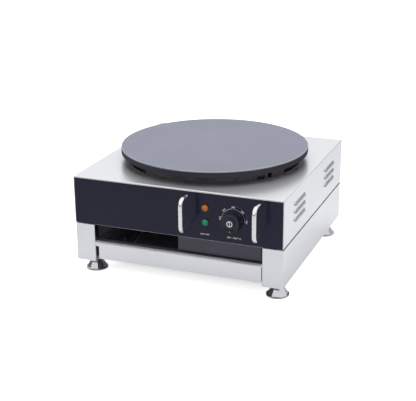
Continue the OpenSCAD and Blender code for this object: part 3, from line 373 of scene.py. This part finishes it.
# %% [markdown]
# Some finishes change from place to place in a way that noise can't give: the
# top edge of the griddle is worn bright by spatulas, and turned parts carry
# rings from the lathe. Both are functions of how far a point lies from an axis.
# So a mask is worked out from the coordinates, and a second colour and
# roughness are mixed in by it. Masks are numbers between 0 and 1, and their
# product is 1 only where all of them are.

# %% Masks, and a second finish where the mask is 1
# The colour sockets of a Mix node come after those for numbers and vectors.
MIX_FIRST, MIX_SECOND, MIX_RESULT = 6, 7, 2


def falling(tree, value, start, end):
    """A smooth step down: 1 where the value is below start, 0 where it is past end."""
    return ramp(tree, value, start, end, 1.0, 0.0)


def overlap(tree, first, *others):
    """The product of all these masks."""
    for mask in others:
        first = maths(tree, "MULTIPLY", first, mask)
    return first


def reach_from(tree, middle, axes):
    """Distance from a line: the root of the sum of the squared offsets from middle along two axes."""
    where = place_of(tree)
    offsets = [maths(tree, "SUBTRACT", where[axis], centre) for axis, centre in zip(axes, middle)]
    squares = [maths(tree, "MULTIPLY", offset, offset) for offset in offsets]
    return maths(tree, "SQRT", maths(tree, "ADD", *squares))


def second_finish(made, mask, colour, rough):
    """Mixes this colour and roughness into a finish where the mask is 1."""
    tree = made.node_tree
    shader = tree.nodes["shader"]
    first = shader.inputs["Base Color"].links[0].from_socket
    mixed = add_node(tree, "ShaderNodeMix", data_type="RGBA")
    tree.links.new(mask, mixed.inputs[0])
    tree.links.new(first, mixed.inputs[MIX_FIRST])
    mixed.inputs[MIX_SECOND].default_value = (*colour, 1)
    tree.links.new(mixed.outputs[MIX_RESULT], shader.inputs["Base Color"])
    first = shader.inputs["Roughness"].links[0].from_socket
    towards = maths(tree, "SUBTRACT", rough, first)
    tree.links.new(maths(tree, "MULTIPLY_ADD", mask, towards, first), shader.inputs["Roughness"])


def less_metal(made, mask, drop):
    """Lowers the share of metal by this drop where the mask is 1."""
    tree = made.node_tree
    metallic = tree.nodes["shader"].inputs["Metallic"]
    first = metallic.links[0].from_socket if metallic.links else metallic.default_value
    tree.links.new(maths(tree, "MULTIPLY_ADD", mask, -drop, first), metallic)


def turned_rings(made, reach, pitch, height):
    """Lathe marks: noise in one dimension, read along the distance from the axis, as a bump."""
    tree = made.node_tree
    rings = add_node(tree, "ShaderNodeTexNoise", noise_dimensions="1D", Scale_=1 / pitch, Detail_=2.0)
    tree.links.new(reach, rings.inputs["W"])
    raise_by(tree, rings.outputs["Fac"], height)


# %% [markdown]
# ## The griddle
# A cast plate is turned flat on a lathe, seasoned, and then scraped thousands of
# times. Its top is a smooth grey with faint rings. Its side keeps a rough cast
# finish and is painted darker, as painted shade, and its upper corner is painted
# paler, as a painted highlight. Three materials could do that; masks of height and
# of distance from the axis do it in one, with nothing to unwrap.

# %% The griddle: turned, painted shade down its side, a painted highlight along its top edge
low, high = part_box("griddle_plate")
middle, rim = (low + high) / 2, (high.x - low.x) / 2
tree = finishes["plate"].node_tree
reach, level = reach_from(tree, middle.xy, "XY"), place_of(tree)["Z"]
# Painted shade: the side is a darker grey, on a rougher cast finish.
side = falling(tree, level, high.z - 3.5 * MM, high.z - 1.5 * MM)
second_finish(finishes["plate"], side, colour=(0.066, 0.064, 0.082), rough=0.7)
# Painted highlight: the top edge is a paler grey.
painted_rim_highlight = overlap(tree, ramp(tree, reach, rim - 2.6 * MM, rim - 1.0 * MM),
               ramp(tree, level, high.z - 3.0 * MM, high.z - 1.4 * MM))
second_finish(finishes["plate"], painted_rim_highlight, colour=(0.42, 0.42, 0.46), rough=0.3)
turned_rings(finishes["plate"], reach, pitch=1.2 * MM, height=0.015 * MM)
print("griddle", round(2 * rim / MM), "mm across, top at", round(high.z / MM, 1), "mm")

# %% [markdown]
# ## The casing
# The casing is folded from one sheet, and all its finishes live in one material.
# The deck is scoured after each use, which breaks the mirror up: it is rougher,
# and it spreads part of its light to all sides, which a lower Metallic does here.
# Height alone tells the deck from the walls, so the mask is a ramp just below the
# top of the sheet.

# %% The deck, scoured dull by cleaning, while the walls below it stay bright
low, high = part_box("casing_shell")
casing_front, casing_bottom, deck_height = low.y, low.z, high.z
steel = finishes["stainless"]
tree = steel.node_tree
where = place_of(tree)
on_deck = ramp(tree, where["Z"], deck_height - 1.2 * MM, deck_height - 0.4 * MM)
second_finish(steel, on_deck, colour=(0.89, 0.90, 0.94), rough=0.32)
less_metal(steel, on_deck, 0.22)
print("deck at", round(deck_height / MM, 1), "mm")

# %% [markdown]
# Sheet leaves the rolling mill with fine lines along one direction. The finish
# began with noise stretched along X. Here a second noise, stretched along Y,
# takes over on the walls. The two are mixed before they reach the roughness and
# the bump, so it stays one material.

# %% Rolled sheet: its grain runs along X on the deck, front and back, and along Y on the walls
low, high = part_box("side_frame_right")
frame_front, frame_wall, seam = low.y, high.x, high.z
from_middle = apart(tree, where["X"], 0.0)
on_wall = ramp(tree, from_middle, frame_wall - 1.8 * MM, frame_wall - 1.4 * MM)
along_x = tree.nodes["fine"].outputs["Fac"]
users = [link.to_socket for link in along_x.links]
along_y = noise_on(tree, "along_y", 10.0, 4.0, (SHEET_GRAIN[1], SHEET_GRAIN[0], SHEET_GRAIN[2]))
either = maths(tree, "MULTIPLY_ADD", on_wall, maths(tree, "SUBTRACT", along_y, along_x), along_x)
for socket in users:
    tree.links.new(either, socket)
print("grain turned on the walls past", round(frame_wall / MM - 1.4, 1), "mm")

# %% [markdown]
# Where the black front meets the casing, the edge of the sheet shows as a thin
# bright line. That line is a painted highlight: the edge is painted near white and
# made matt, so it spreads its light with a lower Metallic, as the deck does. The
# mask is a product of two ramps: near the casing's front, and above its lower edge.

# %% The front edge of the casing: a painted highlight, brighter than the sheet
# Painted highlight: near-white, matt and less metallic along the casing's front edge.
painted_edge_highlight = overlap(tree, falling(tree, where["Y"], casing_front + 1.4 * MM, casing_front + 2.0 * MM),
                  ramp(tree, where["Z"], casing_bottom, casing_bottom + 1 * MM))
second_finish(steel, painted_edge_highlight, colour=(0.97, 0.97, 0.98), rough=0.25)
less_metal(steel, painted_edge_highlight, 0.8)
print("casing front at", round(casing_front / MM, 2), "mm")

# %% [markdown]
# The lip of the tray is where hands pull. Its top is painted near white and made
# matt as a painted highlight, so it takes light from all around and doesn't mirror
# the dark front above it. It is found by its height, in the depth of the tray's
# front plate and between the leg frames.

# %% The tray's grip lip, a painted highlight in matt near-white
low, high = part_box("tray_front")
# Painted highlight: the lip's top is near-white, matt and less metallic.
painted_lip_highlight = overlap(tree, ramp(tree, where["Z"], high.z - 1.6 * MM, high.z - 0.8 * MM),
                 falling(tree, where["Z"], high.z + 0.3 * MM, high.z + 0.6 * MM),
                 falling(tree, where["Y"], high.y + 1 * MM, high.y + 3 * MM),
                 falling(tree, from_middle, high.x + 0.1 * MM, high.x + 0.4 * MM))
second_finish(steel, painted_lip_highlight, colour=(0.95, 0.95, 0.96), rough=0.4)
less_metal(steel, painted_lip_highlight, 0.8)
print("lip at", round(high.z / MM, 1), "mm, on a plate", round((high.y - low.y) / MM, 1), "mm deep")

# %% [markdown]
# The louvres are pressed out of the wall, and their faces are painted a darker
# grey: painted shade. They stand further out than the wall, so the distance from
# the middle plane is all that the mask needs.

# %% The louvres, painted darker as shade
# Painted shade: the louvres' faces are a darker grey.
painted_louvre_shade = ramp(tree, from_middle, frame_wall + 0.2 * MM, frame_wall + 1.0 * MM)
second_finish(steel, painted_louvre_shade, colour=(0.60, 0.61, 0.67), rough=0.34)
louvre_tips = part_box("casing_shell")[1].x
print("louvres stand", round((louvre_tips - frame_wall) / MM, 1), "mm out of the wall")

# %% [markdown]
# Grease and flour settle where two sheets meet. A line of dirt is too thin to be
# worth a mesh, so it is painted: dark within a millimetre of the seam's height,
# and only on the outer faces.

# %% Dust in the seam where the casing sits on the side frames
in_seam = overlap(tree, falling(tree, apart(tree, where["Z"], seam), 0.4 * MM, 1.2 * MM),
                  ramp(tree, from_middle, frame_wall - 1.5 * MM, frame_wall - 1.1 * MM))
second_finish(steel, in_seam, colour=(0.04, 0.04, 0.045), rough=0.6)
print("seam at", round(seam / MM, 2), "mm; casing from", round(casing_bottom / MM, 2), "mm")

# %% [markdown]
# The inner faces of the leg frames are painted dark grey and dull: painted shade,
# for the deep shade inside them. They are picked out by their distance from the
# middle plane, behind the front leaf and below the casing.

# %% Inside the side frames: painted shade
leg_back = frame_front + 2 * MM
# Painted shade: the inner faces of the side frames are dark grey.
painted_inner_shade = overlap(tree, ramp(tree, from_middle, frame_wall - 2.2 * MM, frame_wall - 1.9 * MM),
                     falling(tree, from_middle, frame_wall - 1.0 * MM, frame_wall - 0.8 * MM),
                     ramp(tree, where["Y"], leg_back, leg_back + 1 * MM),
                     falling(tree, where["Z"], seam - 8 * MM, seam - 3 * MM))
second_finish(steel, painted_inner_shade, colour=(0.16, 0.16, 0.18), rough=0.5)
print("dull inside from", round(leg_back / MM, 1), "mm backward, below", round(seam / MM - 3, 1), "mm")

# %% [markdown]
# ## The tray, the skirt, the knob and the lenses
# Two long bright lines are painted on the floor of the dark pan: painted
# highlights. Each is straight, a line in X and Y. How far a point lies beside it
# is x - slope * y - offset, and ramps along Y let each line fade in and out at its
# ends. It stays on the pan's floor and doesn't climb the walls.

# %% Two long painted highlights on the tray's floor
# Each mark: x and y of its front end, x and y of its rear end, in millimetres.
HIGHLIGHT_LINES = ((-174.2, -89.2, -183.1, -35.0), (-146.2, -97.4, -157.3, -32.0))
tree = finishes["tray_dark"].node_tree
where = place_of(tree)
marks = []
for start_x, start_y, end_x, end_y in HIGHLIGHT_LINES:
    slope = (end_x - start_x) / (end_y - start_y)
    line = maths(tree, "MULTIPLY_ADD", where["Y"], slope, (start_x - slope * start_y) * MM)
    marks.append(overlap(tree, falling(tree, apart(tree, where["X"], line), 0.3 * MM, 0.9 * MM),
                         ramp(tree, where["Y"], (start_y - 30) * MM, (start_y - 10) * MM),
                         falling(tree, where["Y"], (end_y + 10) * MM, (end_y + 40) * MM)))
pan_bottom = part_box("tray_pan")[0].z
on_floor = falling(tree, where["Z"], pan_bottom + 2.5 * MM, pan_bottom + 3.5 * MM)
# Painted highlights: two bright lines on the pan's floor.
painted_line_highlight = overlap(tree, maths(tree, "MAXIMUM", *marks), on_floor)
second_finish(finishes["tray_dark"], painted_line_highlight, colour=(0.9, 0.9, 0.92), rough=0.3)
print(len(marks), "marks on the pan's floor, below", round(pan_bottom / MM + 2.5, 1), "mm")

# %% [markdown]
# The skirt is the band with windows under the griddle. Heat darkens it, and a
# lighter brownish line runs along its middle in places. The line is a ramp of
# height, and noise breaks it into patches.

# %% The skirt under the griddle: a lighter line, here and there, along its middle
LINE_HEIGHT = 0.55
low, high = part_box("skirt_ring")
tree = finishes["dark_steel"].node_tree
patches = noise_on(tree, "patches", 55.0, 3.0)
from_line = apart(tree, place_of(tree)["Z"], low.z + LINE_HEIGHT * (high.z - low.z))
lighter_line = overlap(tree, falling(tree, from_line, 0.5 * MM, 1.1 * MM), ramp(tree, patches, 0.46, 0.56))
second_finish(finishes["dark_steel"], lighter_line, colour=(0.10, 0.075, 0.075), rough=0.35)
print("skirt from", round(low.z / MM, 1), "to", round(high.z / MM, 1), "mm")

# %% [markdown]
# The knob carries a small spun disc with a bar across it. Spinning leaves fine
# rings, and black paint fills the recess beside the bar and covers the outer edge.
# The rings are noise read along the distance from the axis. The paint is a mask:
# inside the bright ring but not on the bar, or outside the ring.

# %% The knob's disc: spun rings, and black paint beside the bar that shows where it points
low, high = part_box("knob_insert")
middle = (low + high) / 2
tree = finishes["knob_face"].node_tree
reach = reach_from(tree, middle.xz, "XZ")
turned_rings(finishes["knob_face"], reach, pitch=0.35 * MM, height=0.03 * MM)
off_bar = ramp(tree, apart(tree, place_of(tree)["X"], middle.x), 0.8 * MM, 1.0 * MM)
recess = overlap(tree, falling(tree, reach, 4.2 * MM, 4.5 * MM), off_bar)
painted = maths(tree, "MAXIMUM", recess, ramp(tree, reach, 6.1 * MM, 6.4 * MM))
second_finish(finishes["knob_face"], painted, colour=(0.016, 0.016, 0.022), rough=0.5)
print("knob's disc", round((high.x - low.x) / MM, 1), "mm across")

# %% [markdown]
# A lens is a cut crown that catches light, on a round seat that looks almost
# black. Clear plastic would need a reflector behind it and many more samples. For
# a lamp that isn't lit, the seat is painted deep instead, a painted shade that
# depends on the distance from the axis, and the crown keeps the lens's bright colour.

# %% The lenses: painted shade on their round seats, their cut crowns bright
for name, painted_seat_shade in (("amber_lens", (0.10, 0.022, 0.002)), ("green_lens", (0.001, 0.030, 0.020))):
    low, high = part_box(name)
    tree = finishes[name].node_tree
    # Painted shade: the lens's seat is a deep colour.
    seat = ramp(tree, reach_from(tree, ((low + high) / 2).xz, "XZ"), 6.0 * MM, 6.6 * MM)
    second_finish(finishes[name], seat, colour=painted_seat_shade, rough=0.2)
    print(name, round((high.x - low.x) / MM, 1), "mm across")

# %% [markdown]
# Two pieces may share a slot in the record and still differ a little. The wiring
# cover never gets as hot as the skirt, so it stays a lighter grey. It gets a
# material of its own, made by the same function.

# %% The plate over the wiring is a lighter grey than the skirt, but shares its coating
cover_grey = finish_like("cover_grey", (0.105, 0.103, 0.135), 0.42, metal=0.3, tint=0.08, blotch=20)
own_finish = {"wiring_cover": cover_grey}
print("a finish of its own for", *own_finish)

# %% [markdown]
# ## Putting the finishes on
# The record names a material slot for each piece. Each drawn piece gives up its
# plain grey for the finish of that name. The meshes themselves aren't touched.

# %% Dress every node in the finish of its material slot
slot_of = {row["node"]: row["material_slot"] for row in frame["record"]["subparts"]}
for name, node in nodes.items():
    node.data.materials.clear()
    node.data.materials.append(own_finish.get(name) or finishes[slot_of[name]])
print(len(nodes), "pieces in", len(set(slot_of.values())), "slots")

# %% [markdown]
# ## Print on the front
# The scale round the knob is screen printed: figures, a row of dots, and a thin
# arc or two. Print is a layer of ink, so it is modelled as one: flat shapes a
# twentieth of a millimetre thick on the front's own plane. Letters come from a
# text curve, made a mesh, scaled to the height and width that are wanted, and
# then laid on the front by swapping axes: a letter's right is the front's
# right, and its top is the front's up.

# %% Letters, dots and arcs as flat patches
INK = 0.05 * MM
BOLD = 0.06
front_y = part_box("fascia")[0].y


def letters(text, middle, size, turn=0):
    """A line of text as points (x, z) and faces: scaled to this width and height, turned anticlockwise
    by so many degrees, and centred on middle."""
    curve = bpy.data.curves.new("letters", "FONT")
    curve.body, curve.fill_mode, curve.resolution_u, curve.offset = text, "FRONT", 3, BOLD
    written = bpy.data.objects.new("letters", curve)
    bpy.context.collection.objects.link(written)
    mesh = bpy.data.meshes.new_from_object(written.evaluated_get(bpy.context.evaluated_depsgraph_get()))
    points = np.empty(len(mesh.vertices) * 3)
    mesh.vertices.foreach_get("co", points)
    points = points.reshape(-1, 3)[:, :2]
    faces = [tuple(face.vertices) for face in mesh.polygons]
    bpy.data.objects.remove(written)
    bpy.data.meshes.remove(mesh)
    low, high = points.min(0), points.max(0)
    level = (points - (low + high) / 2) / (high - low) * size
    cosine, sine = math.cos(math.radians(turn)), math.sin(math.radians(turn))
    return level @ np.array([[cosine, sine], [-sine, cosine]]) + middle, faces


def arc(middle, inner, outer, start, stop, steps=40):
    """A flat band round middle: at angle a and radius r the point is (r cos a, r sin a)."""
    angle = np.radians(np.linspace(start, stop, steps))
    ring = np.stack([np.cos(angle), np.sin(angle)], 1)
    first = np.arange(steps - 1)
    faces = np.stack([first, first + steps, first + steps + 1, first + 1], 1)
    return np.concatenate([inner * ring, outer * ring]) + middle, faces.tolist()


def dot(middle, radius, sides=12):
    """A round dot: points at even angles, joined by one face."""
    angle = np.linspace(0, 2 * np.pi, sides, endpoint=False)
    return radius * np.stack([np.cos(angle), np.sin(angle)], 1) + middle, [tuple(range(sides))]


# %% [markdown]
# Every new piece goes through the same two steps. First its points and faces
# become a mesh, points that lie on top of each other are merged, and its faces
# are turned outward. Then it becomes an object in one finish that rides on one
# moving body. Ink faces the front, and a Solidify modifier gives it its thickness.

# %% From points and faces to a piece
def merged_mesh(name, points, faces, near, face_out):
    """A mesh with points closer than near merged; face_out turns the faces of what is left."""
    mesh = bpy.data.meshes.new(name)
    mesh.from_pydata(points.tolist(), [], faces)
    cleaned = bmesh.new()
    cleaned.from_mesh(mesh)
    bmesh.ops.remove_doubles(cleaned, verts=cleaned.verts, dist=near)
    face_out(cleaned)
    cleaned.to_mesh(mesh)
    cleaned.free()
    return mesh


def add_piece(mesh, finish, body):
    """An object of this mesh in this finish, riding on a body."""
    piece = bpy.data.objects.new(mesh.name, mesh)
    bpy.context.collection.objects.link(piece)
    mesh.materials.append(finish)
    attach(piece, body)
    return piece


def face_the_front(cleaned):
    """Turns round every face that looks backward."""
    backward = [face for face in cleaned.faces if face.normal.y > 0]
    bmesh.ops.reverse_faces(cleaned, faces=backward)


def ink_piece(name, patches, finish, body, y):
    """One piece of all the patches, on the plane of this y, with the ink's thickness."""
    starts = np.cumsum([0] + [len(points) for points, _ in patches])
    flat = np.concatenate([points for points, _ in patches])
    upright = np.stack([flat[:, 0], np.full(len(flat), y - INK), flat[:, 1]], 1)
    faces = [tuple(int(start) + int(corner) for corner in face)
             for start, (_, patch_faces) in zip(starts, patches) for face in patch_faces]
    mesh = merged_mesh(name, upright, faces, 0.002 * MM, face_the_front)
    piece = add_piece(mesh, finish, body)
    thick = piece.modifiers.new("ink", "SOLIDIFY")
    thick.thickness, thick.offset = INK, -1
    print(name, len(mesh.polygons), "faces")


# %% [markdown]
# The scale is laid out in polar coordinates round the knob's axis, with angles in
# degrees from three o'clock. The figures are turned to stand along the ring,
# further out than the dots, and the dots stop where the arc begins, so that no
# two patches of ink lie on top of each other.

# %% The scale round the knob
FIGURES = {"100": 176, "150": 134, "200": 90, "250": 46, "300": 0}
FIGURE_REACH, FIGURE_SIZE = 27.4 * MM, np.array([7.4, 3.8]) * MM
DOT_ANGLES = (*range(0, 46, 9), *range(51, 92, 6), *range(140, 181, 9))
DOT_REACH, DOT_RADIUS = 23.8 * MM, 0.85 * MM
# Arcs: inner and outer radius in metres, first and last angle in degrees.
WHITE_ARC = (23.2 * MM, 24.4 * MM, 95, 135)
GREY_ARC = (29.3 * MM, 29.9 * MM, 0, 90)
# Captions: the text, its middle across and up, its width and height, all in millimetres.
CAPTIONS = (("100 - 300 °C", (124.1, 125.7), (29.2, 3.6)), ("ON / OFF", (62.6, 125.7), (19.0, 3.2)))
low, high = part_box("knob")
dial = np.array(((low + high) / 2).xz)


def on_dial(angle, radius):
    """The point at this angle, in degrees from 3 o'clock, and this distance from the knob's axis."""
    return dial + radius * np.array([math.cos(math.radians(angle)), math.sin(math.radians(angle))])


white_ink = finish_like("white_ink", (0.95, 0.95, 0.95), 0.5, tint=0.04, blotch=200)
grey_ink = finish_like("grey_ink", (0.22, 0.22, 0.25), 0.5, tint=0.04, blotch=200)
scale = [letters(figure, on_dial(angle, FIGURE_REACH), FIGURE_SIZE, angle - 90)
         for figure, angle in FIGURES.items()]
scale += [dot(on_dial(angle, DOT_REACH), DOT_RADIUS) for angle in DOT_ANGLES]
scale += [arc(dial, *WHITE_ARC)]
scale += [letters(text, np.array(middle) * MM, np.array(size) * MM) for text, middle, size in CAPTIONS]
ink_piece("dial_print", scale, white_ink, "base", front_y)
ink_piece("dial_arc", [arc(dial, *GREY_ARC)], grey_ink, "base", front_y)

# %% [markdown]
# The pointer's line is printed on the knob and not on the front, so it rides on
# the knob's body and turns with it. It is one small rectangle of ink.

# %% The line on the knob's pointer, which turns with the knob
POINTER_FORWARD, POINTER_DROP = 20.5 * MM, 16.2 * MM
LINE_WIDTH, LINE_LENGTH = 1.0 * MM, 3.0 * MM
corners = np.array([(-1, -1), (1, -1), (1, 1), (-1, 1)]) * (LINE_WIDTH / 2, LINE_LENGTH / 2)
line = [(corners + dial - (0, POINTER_DROP), [(0, 1, 2, 3)])]
ink_piece("pointer_line", line, white_ink, "knob", front_y - POINTER_FORWARD)

# %% [markdown]
# ## Screws and threads
# A panel screw has a low dome with a cross recess, and a shank with a thread.
# All of that is one skin around an axis: at every step along the profile and
# every angle there is one radius and one height. The dome is a slice of a
# sphere, the cross is sunk into it where a point is near one of two lines, and
# the thread makes the radius rise and fall with height and angle together, once
# round for every pitch.

# %% A skin from grids of points
SHARP_FROM = math.radians(35)


def face_outward(cleaned):
    """Turns every face outward, which the closed skin leaves no doubt about."""
    bmesh.ops.recalc_face_normals(cleaned, faces=cleaned.faces)


def skin(name, grids, finish, body):
    """Joins neighbours in each grid of points (rows, columns, xyz) into quads, with columns closed on
    themselves; rows that shrink to a point close the ends once doubles are merged."""
    rows, columns = grids.shape[1:3]
    index = np.arange(rows * columns).reshape(rows, columns)
    beside = np.roll(index, -1, axis=1)
    quads = np.stack([index[:-1], beside[:-1], beside[1:], index[1:]], -1).reshape(-1, 4)
    quads = (quads[None] + (np.arange(len(grids)) * rows * columns)[:, None, None]).reshape(-1, 4)
    mesh = merged_mesh(name, grids.reshape(-1, 3), quads.tolist(), 0.005 * MM, face_outward)
    mesh.set_sharp_from_angle(angle=SHARP_FROM)
    print(name, len(grids), "x", len(mesh.polygons) // len(grids), "faces")
    return add_piece(mesh, finish, body)


# %% [markdown]
# The numbers of a screw are in millimetres here and turned into metres at the
# end. The cross is deep where a point is close to one arm's middle line and not
# too far out along it: both are soft steps made by clipping a straight line
# between 0 and 1.

# %% One panel screw
HEAD_RADIUS, HEAD_SIDE, HEAD_CHAMFER = 3.8, 0.15, 0.2
SPHERE_RADIUS, SPHERE_DROP = 6.4, 4.1
SHANK_RADIUS, SHANK_TOP, SHANK_END = 2.0, -0.4, -6.4
TIP_RADIUS, TIP_END = 1.2, -7
HEAD_ROWS, SHANK_ROWS = 17, 49
ARM_HALF, ARM_EDGE = 0.62, 0.25
ARM_REACH, ARM_END = 2.2, 0.5
RECESS_DEPTH = 1.1
THREAD_DEPTH, THREAD_PITCH = 0.3, 0.7


def wave(turns):
    """A triangle wave: 0 at whole numbers, 1 halfway between them."""
    return 1 - np.abs(2 * (turns - np.floor(turns)) - 1)


def screw_grid(columns=64):
    """One screw along +Z with its head's seat at 0: dome, side, seat, threaded shank and tip."""
    angle = np.linspace(0, 2 * np.pi, columns, endpoint=False)
    head = np.linspace(0, HEAD_RADIUS, HEAD_ROWS)
    dome = np.sqrt(SPHERE_RADIUS ** 2 - head ** 2) - SPHERE_DROP
    shank = np.linspace(SHANK_TOP, SHANK_END, SHANK_ROWS)
    seat = [HEAD_RADIUS, HEAD_RADIUS - HEAD_CHAMFER, SHANK_RADIUS]
    radius = np.concatenate([head, seat, np.full(SHANK_ROWS, SHANK_RADIUS), [TIP_RADIUS, 0]])
    height = np.concatenate([dome, [HEAD_SIDE, 0, 0], shank, [TIP_END, TIP_END]])
    radius = np.repeat(radius[:, None], columns, 1)
    height = np.repeat(height[:, None], columns, 1)
    x, y = np.abs(radius * np.cos(angle)), np.abs(radius * np.sin(angle))
    across = np.clip((ARM_HALF - np.minimum(x, y)) / ARM_EDGE, 0, 1)
    along = np.clip((ARM_REACH - np.maximum(x, y)) / ARM_END, 0, 1)
    height[:HEAD_ROWS] -= RECESS_DEPTH * (across * along)[:HEAD_ROWS]
    thread = slice(HEAD_ROWS + len(seat), HEAD_ROWS + len(seat) + SHANK_ROWS)
    radius[thread] -= THREAD_DEPTH * wave(height[thread] / THREAD_PITCH + angle / (2 * np.pi))
    return np.stack([radius * np.cos(angle), radius * np.sin(angle), height], -1) * MM


one_screw = screw_grid()
print("a screw of", one_screw.shape[0], "rows and", one_screw.shape[1], "columns")

# %% [markdown]
# The same screw is used in three groups: through the rear panel, up into the
# lower edges of front and back, and under the wiring cover. Each group is a list
# of points, and a rotation that turns the screw's axis outward or down. It takes
# the place of the plain pins that the construction drawing has there, and those
# are hidden.

# %% Screws of the rear panel, the lower edges and the wiring cover
UPWARD = Vector((0, 0, 1))
outward = UPWARD.rotation_difference(Vector((0, 1, 0)))
# Exactly opposite directions have no single rotation between them, hence the small step aside.
downward = UPWARD.rotation_difference(Vector((0, -1e-6, -1)))
# Where each screw's head sits, in millimetres.
REAR_SEATS = [(x, 234.75, 208) for x in (-150, -50, 50, 150)]
EDGE_SEATS = [(x, y, z) for x in (-152, 0, 152) for y, z in ((-198.05, 113.0), (225.55, 111.8))]
COVER_SEATS = [(-5, -173.75, 111.8), (-5, -98.75, 111.8), (30, -73.75, 111.8), (146, -73.75, 111.8)]
SCREWS = {
    "rear_panel_screws": ("rear_screws", outward, REAR_SEATS),
    "front_edge_screws": ("fascia_screws", downward, EDGE_SEATS),
    "wiring_cover_screws": ("cover_screws", downward, COVER_SEATS),
}


def copies(grid, places, turn):
    """The grid at every place: its points times the rotation's matrix, plus the place."""
    turned = grid @ np.array(turn.to_matrix()).T
    return turned[None] + np.array(places)[:, None, None, :] * MM


for name, (drawn, turn, places) in SCREWS.items():
    piece = skin(name, copies(one_screw, places, turn), finishes["zinc_steel"], "base")
    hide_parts(drawn)

# %% [markdown]
# A levelling foot is screwed into the leg, so its stud needs a thread. It is a
# sleeve round the drawn stud, and it rides on the foot. The radius swings between
# crest and root as height and angle grow together, which draws the helix.

# %% Threads on the foot studs
STEPS_A_TURN = 8


def thread_grid(bottom, top, crest, root, pitch, columns=32):
    """A threaded sleeve of these sizes in millimetres: the radius swings between root and crest,
    as a wave of height over pitch plus angle over a full turn."""
    angle = np.linspace(0, 2 * np.pi, columns, endpoint=False)
    steps = int((top - bottom) / pitch * STEPS_A_TURN)
    height = np.repeat(np.linspace(bottom, top, steps)[:, None], columns, 1)
    radius = root + (crest - root) * wave(height / pitch + angle / (2 * np.pi))
    height, radius = (np.concatenate([part[:1], part, part[-1:]]) for part in (height, radius))
    radius[[0, -1]] = 0
    return np.stack([radius * np.cos(angle), radius * np.sin(angle), height], -1) * MM


stud = thread_grid(bottom=20.5, top=33.0, crest=5.35, root=4.7, pitch=1.5)
for corner in ("front_left", "front_right", "rear_left", "rear_right"):
    low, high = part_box("foot_" + corner)
    middle = [*((low + high) / 2).xy, 0]
    sleeve = (stud + middle)[None]
    skin("thread_" + corner, sleeve, finishes["foot_steel"], "foot_" + corner)
